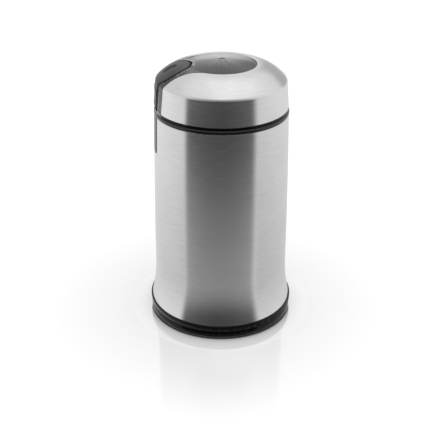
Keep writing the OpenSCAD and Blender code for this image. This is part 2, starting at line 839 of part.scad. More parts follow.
module armature_winding()
    color([0.7, 0.38, 0.16]) {
        translate([0, 0, stack_top]) end_turn();
        translate([0, 0, stack_bottom]) mirror([0, 0, 1]) end_turn();
    }

module commutator()
    color([0.75, 0.45, 0.25])
        difference() {
            rod(commutator_r, commutator_top - commutator_h, commutator_top);
            rod(shaft_r, commutator_top - commutator_h - 1, commutator_top + 1);
        }

// A strip with one wing bent up and one bent down, cut to its plan
module blade() {
    flat = 9;
    bend = 14;
    tip_z = (blade_reach - flat) * tan(bend);
    low = [[-blade_reach, -tip_z], [-flat, 0], [flat, 0], [blade_reach, tip_z]];
    w = blade_w / 2;
    color([0.82, 0.82, 0.84])
        difference() {
            intersection() {
                translate([0, blade_w, blade_z]) rotate([90, 0, 0])
                    linear_extrude(height = 2 * blade_w)
                        polygon(concat(low, [for (p = reversed(low)) p + [0, blade_t]]));
                translate([0, 0, blade_z - 2 * tip_z])
                    linear_extrude(height = 4 * tip_z) {
                        circle(w + 1.5);
                        polygon([[-blade_reach, -w], [blade_reach - 4, -w],
                            [blade_reach, -w / 3], [blade_reach, w],
                            [4 - blade_reach, w], [-blade_reach, w / 3]]);
                    }
            }
            rod(shaft_r, blade_z - 5, blade_z + 10);
        }
}

module blade_nut()
    color([0.8, 0.8, 0.82])
        difference() {
            union() {
                translate([0, 0, blade_z + blade_t])
                    cylinder(r = nut_flat_r, h = nut_h - 1.4, $fn = 6);
                rod(nut_flat_r - 1, blade_z + blade_t, blade_z + blade_t + nut_h);
            }
            rod(shaft_r, blade_z, shaft_top);
        }

// ---- Push rod -------------------------------------------------------------------------------

module push_rod() {
    foot_low = rod_foot_z;
    color([0.85, 0.85, 0.83]) {
        intersection() {
            ring(rod_r, rod_r + rod_t, foot_low, rod_top);
            block([-rod_w / 2, -base_r, foot_low], [rod_w / 2, 0, rod_top]);
        }
        // Foot that reaches inwards over the switch stem and the return spring
        intersection() {
            ring(rod_r - foot_in - 3, rod_r + 0.5, foot_low, foot_low + foot_t);
            union() {
                block([-rod_w / 2, -base_r, foot_low], [rod_w / 2, 0, foot_low + foot_t]);
                block([-rod_w / 2, -base_r, foot_low],
                    [15, -rod_r + foot_in - 3, foot_low + foot_t]);
            }
            rod(rod_r - 0.8, foot_low - 1, foot_low + foot_t + 1);
        }
        intersection() {
            ring(rod_r - 1.2, rod_r + 0.5, foot_low, foot_low + foot_t);
            block([-rod_w / 2, -base_r, foot_low], [rod_w / 2, 0, foot_low + foot_t]);
        }
    }
}

module rod_spring()
    color([0.7, 0.7, 0.7])
        translate([11.5, -switch_y + 1, 0])
            coil(2, 0.3, rod_foot_z - 10, rod_foot_z, 6);

module switch_stem()
    color([0.8, 0.2, 0.15])
        translate([stem_x, -switch_y, 0]) rod(stem_r, stem_top - stem_h - 2.5, stem_top);

// ---- Lid ------------------------------------------------------------------------------------

// Plan of the window and its channel towards the button, with soft fillets between them
module keyhole(grow) {
    r = window_r + grow;
    w = channel_w + grow;
    f = channel_fillet - grow;
    centre = [w + f, -sqrt(pow(r + f, 2) - pow(w + f, 2))];
    on_circle = centre * r / (r + f);
    circle(r);
    translate([-w, -2 * body_r]) square([2 * w, 2 * body_r]);
    both_sides()
        difference() {
            polygon([[0, 0], on_circle, centre, [w, centre[1]], [0, centre[1]]]);
            translate(centre) circle(f, $fn = 180);
        }
}

// Plan of the button: a round head on a straight foot that runs out past the wall
module button_plan(grow) {
    w = button_w / 2 + grow;
    head_y = button_tip_y + head_r;
    translate([-w, -2 * body_r]) square([2 * w, 2 * body_r - head_y]);
    translate([0, -head_y]) circle(head_r + grow);
}

module lid_cover()
    color([0.74, 0.74, 0.75])
        difference() {
            skin(0, cover_t);
            linear_extrude(height = 2 * body_h) keyhole(seam);
        }

// Outlines of the well under the button: its floor is the button's underside, lowered
under_line = inset(lid_line, button_under);
floor_line = left_of(lowered(under_line, well_drop), lid_outer_wall_r);
floor_low_line = left_of(lowered(under_line, well_drop + well_floor_t), lid_outer_wall_r);

module lid_shell() {
    far = 2 * base_r;
    high = 2 * body_h;
    color([0.35, 0.36, 0.37, 0.55])
        difference() {
            union() {
                skin(clear_in, clear_in + clear_wall);
                ring(inner_skirt_r, lid_outer_wall_r, inner_skirt_bottom, crease_z - 1);
                // What shows through the steel cover, flush with it
                intersection() {
                    linear_extrude(height = high) keyhole(0);
                    skin(0, clear_in + clear_wall / 2);
                }
                // Side walls and floor of the button's well
                intersection() {
                    linear_extrude(height = high) button_plan(button_gap + well_wall);
                    rotate_extrude()
                        polygon(concat(left_of(inset(lid_line, clear_in), lid_outer_wall_r),
                            reversed(floor_low_line)));
                }
                // Cup that the button's return spring stands in
                translate([0, -spring_y, 0])
                    rod(cup_r + cup_wall, cup_floor - cup_wall, spring_top - 2);
                // Bar of the surround that passes below the button
                intersection() {
                    ring(lid_foot_r - 1.3, lid_foot_r, lid_bottom, lid_bottom + surround_bar_h);
                    block([-channel_w, -far, 0], [channel_w, 0, high]);
                }
                // Ends of the surround's sides, down to the bar
                for (s = [-1, 1])
                    intersection() {
                        ring(lid_foot_r - 1.3, lid_foot_r, lid_bottom, lid_edge + 1);
                        block([s > 0 ? button_w / 2 + button_gap : -channel_w, -far, 0],
                            [s > 0 ? channel_w : -button_w / 2 - button_gap, 0, high]);
                    }
            }
            // The well itself
            intersection() {
                translate([0, 0, lid_bottom + surround_bar_h])
                    linear_extrude(height = high) button_plan(button_gap);
                rotate_extrude()
                    polygon(concat(reversed(floor_line),
                        [[floor_line[0][0], lid_bottom], [far, lid_bottom], [far, high], [0, high]]));
            }
            // Pocket behind the surround that traps and guides the presser
            intersection() {
                ring(presser_in_r - 0.15, presser_in_r + presser_t + 0.2,
                    lid_bottom - 1, presser_top + 0.2);
                block([-presser_w / 2 - loose, -far, 0], [presser_w / 2 + loose, 0, high]);
            }
            translate([0, -spring_y, 0]) rod(cup_r, cup_floor, window_z);
            translate([0, 0, window_z + dome_rise - 0.4]) cylinder(r = 2, h = 5);
        }
}

module lid_rim() {
    edge = 0.5;
    rim_r = collar_r + 0.1;
    rim_in = lid_foot_r - 3;
    color([0.05, 0.05, 0.055])
        difference() {
            rotate_extrude()
                polygon([[rim_in, lid_bottom], [rim_r - edge, lid_bottom],
                    [rim_r, lid_bottom + edge], [rim_r, lid_edge - edge / 2],
                    [rim_r - edge / 2, lid_edge], [rim_in, lid_edge]]);
            block([-channel_w - seam, -2 * base_r, 0], [channel_w + seam, 0, body_h * 2]);
        }
}

// Soft ring under the lid that closes on the bowl's rim
module lid_seal()
    color([0.35, 0.35, 0.36]) {
        seal_in = neck_in_r - 0.6;
        ring(seal_in, inner_skirt_r - 0.02, bowl_rim_z + 0.3, bowl_rim_z + 2.3);
    }

module lid_button() {
    stud_r = 1.2;
    color([0.2, 0.2, 0.21])
        difference() {
            union() {
                intersection() {
                    translate([0, 0, button_bottom]) linear_extrude(height = body_h) button_plan(0);
                    skin(-button_proud, button_under);
                }
                // Presser plate behind the surround
                intersection() {
                    ring(presser_in_r, presser_in_r + presser_t, presser_bottom, presser_top);
                    block([-presser_w / 2, -2 * base_r, 0], [presser_w / 2, 0, 2 * body_h]);
                }
                // Web between presser and cap
                intersection() {
                    ring(presser_in_r + 0.4, lid_foot_r - 0.2, button_bottom, presser_top);
                    block([-button_w / 2, -2 * base_r, 0], [button_w / 2, 0, 2 * body_h]);
                }
                // Collar and stud for the return spring
                translate([0, -spring_y, 0]) {
                    rod(cup_r - 0.4, spring_top, window_z - 2.5);
                    rod(stud_r, cup_floor + button_travel + 0.4, window_z - 2.5);
                }
            }
            // Finger mark: a shallow oval along the button
            intersection() {
                for (y = [-spring_y - 2, -spring_y, -spring_y - 4])
                    translate([0, y, 0]) rod(y == -spring_y - 2 ? 4 : 3, crease_z, 2 * body_h);
                skin(-button_proud - 2, -button_proud + 0.8);
            }
        }
}

module button_spring()
    color([0.7, 0.7, 0.7])
        translate([0, -spring_y, 0]) coil(spring_r, spring_wire / 2, cup_floor, spring_top, 5);

// ---- All nodes ------------------------------------------------------------------------------

rubber_feet();
base_cover();
base_ring();
base_screws();
cord_bush();
housing_shell();
front_strip();
top_collar();
inner_frame();
grinding_bowl();
bowl_gasket();
shaft_seal();
upper_bracket();
lower_bracket();
upper_bearing();
lower_bearing();
motor_dampers();
damper_screws();
stator_core();
field_coils();
motor_screws();
brush_holders();
carbon_brushes();
brush_springs();
mains_switch();
switch_screws();
suppression_capacitor();
terminal_block();
motor_leads();
motor_shaft();
armature_core();
armature_winding();
commutator();
blade();
blade_nut();
push_rod();
rod_spring();
switch_stem();
lid_cover();
lid_shell();
lid_rim();
lid_seal();
lid_button();
button_spring();
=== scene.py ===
# %% [markdown]
# # An electric spice grinder, finished
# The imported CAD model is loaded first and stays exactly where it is. It holds the sizes, the joints
# and everything that moves. This script gives each piece that the eye meets a better surface, and
# leaves the hidden pieces to the CAD model with a proper material. Everything below is in the
# CAD model's own frame: the origin is the middle of the floor circle, +Z is up and the button
# faces -Y. Sizes are written in millimetres and become metres when a mesh is made.

# %% Load the frame
import math

import bpy
import numpy as np
from mathutils import Matrix


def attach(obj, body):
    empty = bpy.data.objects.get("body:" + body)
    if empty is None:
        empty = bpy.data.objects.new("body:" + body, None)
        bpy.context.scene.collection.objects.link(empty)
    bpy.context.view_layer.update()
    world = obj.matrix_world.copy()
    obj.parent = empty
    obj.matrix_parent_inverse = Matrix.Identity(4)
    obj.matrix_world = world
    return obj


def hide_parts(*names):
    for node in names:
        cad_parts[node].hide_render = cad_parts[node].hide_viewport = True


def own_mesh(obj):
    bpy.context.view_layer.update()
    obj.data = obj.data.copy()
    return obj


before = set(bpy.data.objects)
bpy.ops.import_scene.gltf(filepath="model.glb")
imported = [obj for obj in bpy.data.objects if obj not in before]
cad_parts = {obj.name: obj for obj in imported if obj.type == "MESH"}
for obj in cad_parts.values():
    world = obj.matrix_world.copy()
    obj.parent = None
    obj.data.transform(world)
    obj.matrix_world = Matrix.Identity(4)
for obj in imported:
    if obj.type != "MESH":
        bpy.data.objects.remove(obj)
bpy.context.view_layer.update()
MM = 0.001

# %% [markdown]
# ## The camera
# A product is shown from a little above, so that the lid's top is seen as well as its side. The
# camera could be placed by eye, but a perspective is only right when distance, height and lens
# agree. Here it is set by numbers: where it stands round the grinder, how far away, how high and
# how far aside, how much it looks down and how much it leans. The lens follows from the focal
# length in pixels of a square frame.

# %% The camera
FRAME_PIXELS, FOCAL_PIXELS, SENSOR = 440, 872.5, 36
CAMERA_AZIMUTH = 84.0
CAMERA_AWAY, CAMERA_HEIGHT, CAMERA_ASIDE = 518.5, 334.1, -0.6
CAMERA_PITCH, CAMERA_LEAN = 27.63, 0.339


def stand_camera():
    """Place the camera and aim it: it looks back along its own azimuth, turned down by the pitch,
    and then turns about its line of sight by the lean."""
    azimuth, pitch, lean = np.radians([CAMERA_AZIMUTH, CAMERA_PITCH, CAMERA_LEAN])
    away = np.array([math.sin(azimuth), -math.cos(azimuth), 0])
    level = np.array([math.cos(azimuth), math.sin(azimuth), 0])
    plumb = np.array([0, 0, 1])
    sight = -away * math.cos(pitch) - plumb * math.sin(pitch)
    upright = plumb * math.cos(pitch) - away * math.sin(pitch)
    right = level * math.cos(lean) + upright * math.sin(lean)
    top = upright * math.cos(lean) - level * math.sin(lean)
    stand = (away * CAMERA_AWAY + level * CAMERA_ASIDE + plumb * CAMERA_HEIGHT) * MM
    camera = bpy.data.objects.new("camera", bpy.data.cameras.new("camera"))
    camera.data.sensor_width = SENSOR
    camera.data.lens = FOCAL_PIXELS / FRAME_PIXELS * camera.data.sensor_width
    columns = [[*right, 0], [*top, 0], [*-sight, 0], [*stand, 1]]
    camera.matrix_world = Matrix(columns).transposed()
    bpy.context.scene.collection.objects.link(camera)
    return camera


bpy.context.scene.camera = stand_camera()
print("lens", round(bpy.context.scene.camera.data.lens, 2), "mm")

# %% [markdown]
# ## Points, cells and walls
# Every new piece is a sheet of points: rows along one direction and columns along the other. The
# sheet is worked out with whole arrays, and its cells are numbered with arrays too. A piece with a
# wall has two such sheets, one for each side, and a strip of cells closes them along every open
# border.

# %% Sheets and walls
def cells(rows, columns, ring=False, tube=False):
    """Four corner numbers for each cell of a sheet numbered row by row. ring joins the last column
    to the first, and tube joins the last row to the first."""
    i, j = np.meshgrid(np.arange(rows - (not tube)), np.arange(columns - (not ring)), indexing="ij")
    up, on = (i + 1) % rows, (j + 1) % columns
    corners = [i * columns + j, i * columns + on, up * columns + on, up * columns + j]
    return np.stack(corners, -1).reshape(-1, 4)


def borders(faces):
    """The edges that one face alone uses, in the direction in which that face runs."""
    edges = np.stack([faces, np.roll(faces, -1, axis=1)], -1).reshape(-1, 2)
    size = faces.max() + 1
    there, back = edges @ [size, 1], edges @ [1, size]
    return edges[~np.isin(there, back)]


def wall(outer, inner, ring=False, keep=None):
    """Points and faces of the body between two sheets of the same size, closed along its borders.
    keep says which cells are there, and leaves an opening where it is false."""
    rows, columns = outer.shape[:2]
    front = cells(rows, columns, ring)
    if keep is not None:
        front = front[keep.ravel()]
    count = rows * columns
    a, b = borders(front).T
    rim = np.stack([b, a, a + count, b + count], -1)
    points = np.concatenate([outer.reshape(-1, 3), inner.reshape(-1, 3)])
    return points, np.concatenate([front, front[:, ::-1] + count, rim])


sample = cells(4, 5)
print("4 by 5 points make", len(sample), "cells with", len(borders(sample)), "border edges")

# %% [markdown]
# ## From points to a mesh
# Points that fall together, as at a pole, are welded before the mesh is made, and cells that shrink
# to nothing are left out. A negative volume means that the faces look inwards, so they are all
# turned round. Edges that turn only a little are shaded smoothly.

# %% Meshes
WELD = 1e-4


def volume(points, faces):
    """Signed volume: the sum over all triangles of the box product of their corners, by six. It is
    positive when the faces point outwards."""
    fans = np.concatenate([faces[:, [0, 1, 2]], faces[:, [0, 2, 3]]])
    a, b, c = (points[fans[:, k]] for k in range(3))
    return float((a * np.cross(b, c)).sum() / 6)


def object_of(name, points, faces, smooth_below=35):
    """An object from points in millimetres and four-cornered faces. Points nearer than the weld
    become one, a face keeps the corners that still differ, and the faces are turned outwards."""
    _, first, number = np.unique(np.round(points / WELD).astype(np.int64), axis=0,
                                 return_index=True, return_inverse=True)
    points, faces = points[first], number.ravel()[faces]
    if volume(points, faces) < 0:
        faces = faces[:, ::-1]
    differs = faces != np.roll(faces, -1, axis=1)
    real = differs.sum(1) >= 3
    corners, sizes = faces[real][differs[real]], differs[real].sum(1)
    used, corners = np.unique(corners, return_inverse=True)
    mesh = bpy.data.meshes.new(name)
    mesh.vertices.add(len(used))
    mesh.vertices.foreach_set("co", (points[used] * MM).astype(np.float32).ravel())
    mesh.loops.add(len(corners))
    mesh.loops.foreach_set("vertex_index", corners.ravel().astype(np.int32))
    mesh.polygons.add(len(sizes))
    mesh.polygons.foreach_set("loop_start", (np.cumsum(sizes) - sizes).astype(np.int32))
    mesh.update(calc_edges=True)
    mesh.validate()
    made = bpy.data.objects.new(name, mesh)
    bpy.context.scene.collection.objects.link(made)
    soften(made, smooth_below)
    return made


def soften(piece, smooth_below):
    """Shade a piece smoothly across every edge that turns less than this many degrees."""
    piece.data.shade_smooth()
    piece.data.set_sharp_from_angle(angle=math.radians(smooth_below))


# %% [markdown]
# ## Edges, joins and cuts
# A real edge is never quite sharp, and a moulding is often one solid with others joined to it or
# cut out of it. Blender's Bevel and Boolean modifiers do both. They are baked in at once, so that
# each piece is a plain mesh in the end.

# %% Bevels and booleans
def settle(piece):
    """Bake the piece's modifiers into its mesh."""
    evaluated = piece.evaluated_get(bpy.context.evaluated_depsgraph_get())
    mesh = bpy.data.meshes.new_from_object(evaluated)
    piece.modifiers.clear()
    piece.data = mesh
    return piece


def round_edges(piece, width, steps=2, sharper_than=40):
    """Break the piece's sharp edges, as moulding, pressing and polishing all do."""
    bevel = piece.modifiers.new("edges", "BEVEL")
    bevel.width, bevel.segments = width * MM, steps
    bevel.limit_method, bevel.angle_limit = "ANGLE", math.radians(sharper_than)
    bevel.harden_normals = True
    return settle(piece)


def combine(piece, others, operation, smooth_below=35):
    """Join other solids to a piece, or cut them out of it. The others are used up."""
    for other in others:
        cut = piece.modifiers.new("cut", "BOOLEAN")
        cut.object, cut.operation, cut.solver = other, operation, "MANIFOLD"
        settle(piece)
        bpy.data.objects.remove(other)
    soften(piece, smooth_below)
    return piece


# %% [markdown]
# ## Turned and bent solids
# Most of a grinder is turned: an outline carried round the axis. The rest are bars and plates that
# are bent to follow it. Both could be modelled flat and bent by a modifier, but their points are
# as easily worked out in place, from radius, height and an angle counted from the front.

# %% Turned and bent solids
def ring_points(r, angle, z):
    """Points at radius r and height z, at an angle round the axis that starts at the front, -Y."""
    return np.stack(np.broadcast_arrays(r * np.sin(angle), -r * np.cos(angle), z), -1)


def on_curve(x, r, z):
    """Points at radius r and height z that stand x beside the middle plane: y = -sqrt(r² - x²)."""
    return np.stack(np.broadcast_arrays(x, -np.sqrt(r**2 - x**2), z), -1)


def cap(loop):
    """Faces that fill a loop of points, as a strip between its two halves."""
    half = len(loop) // 2
    there, back = loop[:half + len(loop) % 2], loop[half + len(loop) % 2:][::-1]
    back = np.concatenate([back, there[-1:]]) if len(loop) % 2 else back
    return np.stack([there[:-1], back[:-1], back[1:], there[1:]], -1)


def capped(rows, columns):
    """Faces of a tube whose rows run round it and whose columns run along it, with both ends
    closed."""
    start = np.arange(rows) * columns
    return np.concatenate([cells(rows, columns, tube=True), cap(start)[:, ::-1],
                           cap(start + columns - 1)])


def turned(name, outline, steps=256, half_gap=None, smooth_below=35):
    """A turned solid: the closed outline of (radius, height) points, carried once round the axis.
    With half_gap the ring is open at the front, and every point stops at that distance beside the
    middle plane: its angle there is the arc sine of the distance over its radius."""
    r, z = np.array(outline, float).T
    closed = half_gap is None
    start = np.zeros(len(r)) if closed else np.arcsin(half_gap / r)
    turn = np.linspace(0, 1, steps, endpoint=not closed)
    angle = start[:, None] + (2 * np.pi - 2 * start)[:, None] * turn
    points = ring_points(r[:, None], angle, z[:, None]).reshape(-1, 3)
    faces = cells(len(r), steps, ring=True, tube=True) if closed else capped(len(r), steps)
    return object_of(name, points, faces, smooth_below)


def curved_bar(name, r_in, r_out, z_low, z_high, x_low, x_high, steps=48):
    """A bar bent round the axis at the front, with flat ends: at each x, its four corners lie at
    two radii and two heights."""
    x = np.linspace(x_low, x_high, steps)[:, None]
    r, z = np.array([r_in, r_out, r_out, r_in]), np.array([z_low, z_low, z_high, z_high])
    first = np.array([3, 2, 1, 0])
    faces = np.concatenate([cells(steps, 4, ring=True), [first, 4 * steps - 1 - first]])
    return object_of(name, on_curve(x, r, z).reshape(-1, 3), faces)


# %% [markdown]
# ## Patterns that several finishes share
# A finish is more than a colour. Each pattern below is a node group with three outputs that change
# over the surface: Tone shifts the colour, Gloss shifts the roughness and Height feeds the bump.
# All of them read the piece's own Object coordinates, so a pattern keeps its scale in millimetres
# and moves with its piece.

# %% Node helpers
def node(tree, kind, links=None, **settings):
    """Add a node, give it its settings, and link or set its inputs by name or number."""
    made = tree.nodes.new(kind)
    for key, value in settings.items():
        setattr(made, key, value)
    for key, value in (links or {}).items():
        if isinstance(value, bpy.types.NodeSocket):
            tree.links.new(value, made.inputs[key])
        else:
            made.inputs[key].default_value = value
    return made


def math_node(tree, operation, a, b=0.0):
    """The output of one sum, product, length or other operation on two numbers."""
    return node(tree, "ShaderNodeMath", {0: a, 1: b}, operation=operation).outputs[0]


def fold(tree, operation, values):
    """One value from several: the operation takes them in turn."""
    whole, *rest = values
    for value in rest:
        whole = math_node(tree, operation, whole, value)
    return whole


def product(tree, *factors):
    """All the factors multiplied."""
    return fold(tree, "MULTIPLY", factors)


def weighted(tree, *parts):
    """The sum of the parts, each a value times its weight."""
    return fold(tree, "ADD", [math_node(tree, "MULTIPLY", *part) for part in parts])


def soft_step(tree, value, low, high, at_low=0.0, at_high=1.0):
    """A number that passes smoothly from one value to another between two limits."""
    return node(tree, "ShaderNodeMapRange", {0: value, 1: low, 2: high, 3: at_low, 4: at_high},
                interpolation_type="SMOOTHSTEP").outputs[0]


def noise(tree, where, scale, detail=2.0, rough=0.5):
    """Cloudy noise, from 0 to 1, at so many blotches to the metre."""
    settings = {"Vector": where, "Scale": scale, "Detail": detail, "Roughness": rough}
    return node(tree, "ShaderNodeTexNoise", settings).outputs["Fac"]


def in_plan(tree, where):
    """x, y and z of a place, its distance from the axis and its direction from there."""
    x, y, z = node(tree, "ShaderNodeSeparateXYZ", {0: where}).outputs
    flat = node(tree, "ShaderNodeCombineXYZ", {0: x, 1: y}).outputs[0]
    radius = node(tree, "ShaderNodeVectorMath", {0: flat}, operation="LENGTH").outputs["Value"]
    unit = node(tree, "ShaderNodeVectorMath", {0: flat}, operation="NORMALIZE").outputs[0]
    return x, y, z, radius, unit


# %% [markdown]
# A pattern is a node group, so that every finish can use it with its own numbers. The group is
# made empty, with its inputs and outputs named, and then filled.

# %% Pattern groups
def pattern(name, numbers):
    """An empty pattern group: its inputs are the coordinates and the named numbers, and its
    outputs are Tone, Gloss and Height."""
    tree = bpy.data.node_groups.new(name, "ShaderNodeTree")
    tree.interface.new_socket(name="Where", in_out="INPUT", socket_type="NodeSocketVector")
    for key, value in numbers.items():
        socket = tree.interface.new_socket(name=key, in_out="INPUT", socket_type="NodeSocketFloat")
        socket.default_value = value
    for key in ("Tone", "Gloss", "Height"):
        tree.interface.new_socket(name=key, in_out="OUTPUT", socket_type="NodeSocketFloat")
    return tree, tree.nodes.new("NodeGroupInput").outputs, tree.nodes.new("NodeGroupOutput").inputs


def give(tree, inputs, values):
    """Link each value to the input of its name."""
    for key, value in values.items():
        tree.links.new(value, inputs[key])


# %% [markdown]
# Brushed steel is worked with an abrasive belt while the shell turns, so its scratches run round
# the axis: they are long that way and a tenth of a millimetre apart or less upwards. The pattern
# takes the direction from the axis, which has no seam, as its slow coordinate, and height less
# radius as its fast one. That grows steadily up a wall and inwards over a shoulder, so the lines
# keep their spacing on both.

# %% Round brushing
COARSE_LINES, COARSE_STREAK, CLOUDS = 0.2, 2.5, 45.0


def round_brushing():
    """Noise read at the direction from the axis times Streak, and at height less radius times the
    lines per metre. Half of it is fine, and half five times as wide and 2.5 times as short."""
    tree, given, out = pattern("round_brushing", {"Lines per metre": 9000.0, "Streak": 2.0})
    _, _, z, radius, unit = in_plan(tree, given["Where"])
    ux, uy, _ = node(tree, "ShaderNodeSeparateXYZ", {0: unit}).outputs
    climb = math_node(tree, "SUBTRACT", z, radius)

    def lines(share, shorter):
        """Noise with this share of the lines, and its streaks so many times shorter."""
        streak = product(tree, given["Streak"], shorter)
        across = product(tree, climb, product(tree, given["Lines per metre"], share))
        spot = {0: product(tree, ux, streak), 1: product(tree, uy, streak), 2: across}
        return noise(tree, node(tree, "ShaderNodeCombineXYZ", spot).outputs[0], 1.0,
                     detail=3.0, rough=0.6)

    both = weighted(tree, (lines(1.0, 1.0), 0.5), (lines(COARSE_LINES, COARSE_STREAK), 0.5))
    tone = weighted(tree, (both, 0.8), (noise(tree, given["Where"], CLOUDS), 0.2))
    give(tree, out, {"Tone": tone, "Gloss": both, "Height": both})
    return tree


# %% [markdown]
# Moulded plastic looks even from afar, but the mould leaves a fine grain or polish marks, and
# handling leaves wide, faint smudges. Rubber, carbon and sintered bronze need the same three
# things at other scales, so one group serves them all.

# %% Grain
def grain():
    """Tone is half fine noise and half smudges, Gloss four parts smudges and one part fine noise,
    and Height half fine noise and half the distance to the nearest pit."""
    tree, given, out = pattern("grain", {"Grains per metre": 2500.0, "Smudges per metre": 60.0})
    where, grains = given["Where"], given["Grains per metre"]
    fine = noise(tree, where, grains, detail=3.0, rough=0.6)
    pits = node(tree, "ShaderNodeTexVoronoi", {"Vector": where, "Scale": grains})
    smudge = noise(tree, where, given["Smudges per metre"], detail=3.0, rough=0.55)
    give(tree, out, {"Tone": weighted(tree, (fine, 0.5), (smudge, 0.5)),
                     "Gloss": weighted(tree, (smudge, 0.8), (fine, 0.2)),
                     "Height": weighted(tree, (fine, 0.5), (pits.outputs["Distance"], 0.5))})
    return tree


# %% [markdown]
# Laminations, wound wire and drawn wire are all even bands: sheets stacked up the axis, or turns
# that lie side by side. A sine wave across them, roughened by a little noise, gives their ribs.

# %% Bands
BAND_WOBBLES, BAND_SPECKS = 300.0, 900.0


def bands():
    """Height is one plus the sine of a whole turn times height times bands per metre, by two, with
    noise added to the turn. Tone is that and fine specks, and Gloss is the specks alone."""
    tree, given, out = pattern("bands", {"Bands per metre": 2000.0, "Wander": 0.4})
    where = given["Where"]
    z = node(tree, "ShaderNodeSeparateXYZ", {0: where}).outputs[2]
    wander = product(tree, noise(tree, where, BAND_WOBBLES), given["Wander"])
    phase = math_node(tree, "ADD", product(tree, z, given["Bands per metre"]), wander)
    wave = math_node(tree, "SINE", product(tree, phase, 2 * math.pi))
    rib = math_node(tree, "ADD", product(tree, wave, 0.5), 0.5)
    speck = noise(tree, where, BAND_SPECKS)
    give(tree, out, {"Tone": weighted(tree, (rib, 0.6), (speck, 0.4)), "Gloss": speck,
                     "Height": rib})
    return tree


# %% [markdown]
# The lid's clear plastic is polished, but it isn't featureless. Faint rays spread from the point in
# the middle of the dome where the mould was filled, and the wall of the button's well is frosted
# round its head: rough and bumped, and painted a lighter tint on its specks, which paints their
# glitter through the clear surround. Both are told by plan distance: from the axis for the rays,
# and from the circle of the button's head for the frost.

# %% Smoky clear plastic, its pattern
RAYS, RAY_NOISE, RAY_REACH = 5.0, (0.40, 0.62), (0.003, 0.016, 1.0, 0.0)
SPECKS, SPECK_NOISE, HAZE = 1300.0, (0.48, 0.55), 120.0
FROST_WIDTH, FROST_BACK = (0.0006, 0.0012, 1.0, 0.0), (-0.033, -0.027)


def moulded_clear():
    """Rays are noise of the direction from the axis, and fade out 3 to 16 mm from it. Frost is
    specks within about a millimetre of the head's circle, on its back half. Both go into Tone and
    Shine, and the frost goes into Gloss and Height as well. The frost's Tone is painted glitter: it
    lightens the smoky tint on its specks."""
    tree, given, out = pattern("moulded_clear", {"Head centre": 0.03195, "Frost radius": 0.0146})
    x, y, _, radius, unit = in_plan(tree, given["Where"])
    rays = noise(tree, unit, RAYS, detail=3.0, rough=0.7)
    rays = product(tree, soft_step(tree, rays, *RAY_NOISE), soft_step(tree, radius, *RAY_REACH))
    from_head = node(tree, "ShaderNodeCombineXYZ", {
        0: x, 1: math_node(tree, "ADD", y, given["Head centre"])}).outputs[0]
    ring = node(tree, "ShaderNodeVectorMath", {0: from_head}, operation="LENGTH").outputs["Value"]
    off = math_node(tree, "ABSOLUTE", math_node(tree, "SUBTRACT", ring, given["Frost radius"]))
    specks = noise(tree, given["Where"], SPECKS, detail=3.0, rough=0.7)
    # Frost and painted glitter: the specks are rough and bumped, and their Tone lightens the tint to
    # paint a glitter
    frost_and_glitter = product(tree, soft_step(tree, off, *FROST_WIDTH), soft_step(tree, specks, *SPECK_NOISE),
                    soft_step(tree, y, *FROST_BACK))
    haze = noise(tree, given["Where"], HAZE, detail=3.0, rough=0.55)
    tree.interface.new_socket(name="Shine", in_out="OUTPUT", socket_type="NodeSocketFloat")
    give(tree, out, {"Tone": weighted(tree, (haze, 0.16), (rays, 0.16), (frost_and_glitter, 1.0)),
                     "Gloss": weighted(tree, (haze, 0.10), (frost_and_glitter, 1.0)),
                     "Height": weighted(tree, (haze, 0.02), (frost_and_glitter, 1.0)),
                     "Shine": weighted(tree, (frost_and_glitter, 1.0), (rays, 0.6))})
    return tree


PATTERNS = {made.name: made for made in (round_brushing(), grain(), bands(), moulded_clear())}
print("patterns:", ", ".join(PATTERNS))

# %% [markdown]
# ## Finishes
# Each finish mixes two close colours and two roughnesses by its pattern and presses the pattern
# into the surface by a few thousandths of a millimetre. What is the same all over a piece, such as
# how metallic it is, is set on the shader's own socket.

# %% How a finish is put together
finishes = {}


def new_paint(name):
    """A new material and its node tree."""
    paint = bpy.data.materials.new(name)
    paint.use_nodes = True
    return paint, paint.node_tree


def finish(name, pattern_name, per_metre, colours, roughness, relief, brushed=False, **rest):
    """A material from a pattern of so many lines, grains or bands to the metre. Tone runs between
    the two colours, of which a single number is a grey, Gloss runs between the two roughnesses, and
    Height stands relief millimetres high. The rest are inputs of the pattern or of the shader. A
    brushed finish spreads its highlights across the brushing, whose direction it takes from the
    piece's own UV map."""
    paint, tree = new_paint(name)
    shader = tree.nodes["Principled BSDF"]
    where = node(tree, "ShaderNodeTexCoord").outputs["Object"]
    group = node(tree, "ShaderNodeGroup", {"Where": where}, node_tree=PATTERNS[pattern_name])
    if per_metre:
        group.inputs[1].default_value = per_metre
    dark, light = ((*np.broadcast_to(colour, 3).tolist(), 1) for colour in colours)
    mix = node(tree, "ShaderNodeMix", {0: group.outputs["Tone"], 6: dark, 7: light},
               data_type="RGBA")
    spread = node(tree, "ShaderNodeMapRange", {
        0: group.outputs["Gloss"], 3: roughness[0], 4: roughness[1]})
    bump = node(tree, "ShaderNodeBump", {
        "Height": group.outputs["Height"], "Distance": relief * MM, "Strength": 1.0})
    give(tree, shader.inputs, {"Base Color": mix.outputs[2], "Roughness": spread.outputs[0],
                               "Normal": bump.outputs[0]})
    if "Shine" in group.outputs:
        give(tree, shader.inputs, {"Coat Weight": group.outputs["Shine"]})
    if brushed:
        around = node(tree, "ShaderNodeTangent", direction_type="UV_MAP", uv_map="around")
        give(tree, shader.inputs, {"Tangent": around.outputs[0]})
    for key, value in rest.items():
        inputs = group.inputs if key in group.inputs else shader.inputs
        inputs[key.replace("_", " ")].default_value = value
    finishes[name] = paint


# %% [markdown]
# The housing and the lid's cover are the same stainless sheet. A brushed face mirrors sideways
# and smears upwards, which is what draws the tall, even band down the middle of such a pot: the
# highlights are spread across the lines, a quarter turn from the way they run. The other metals
# are plainer, and a table of numbers says all there is to say about them.

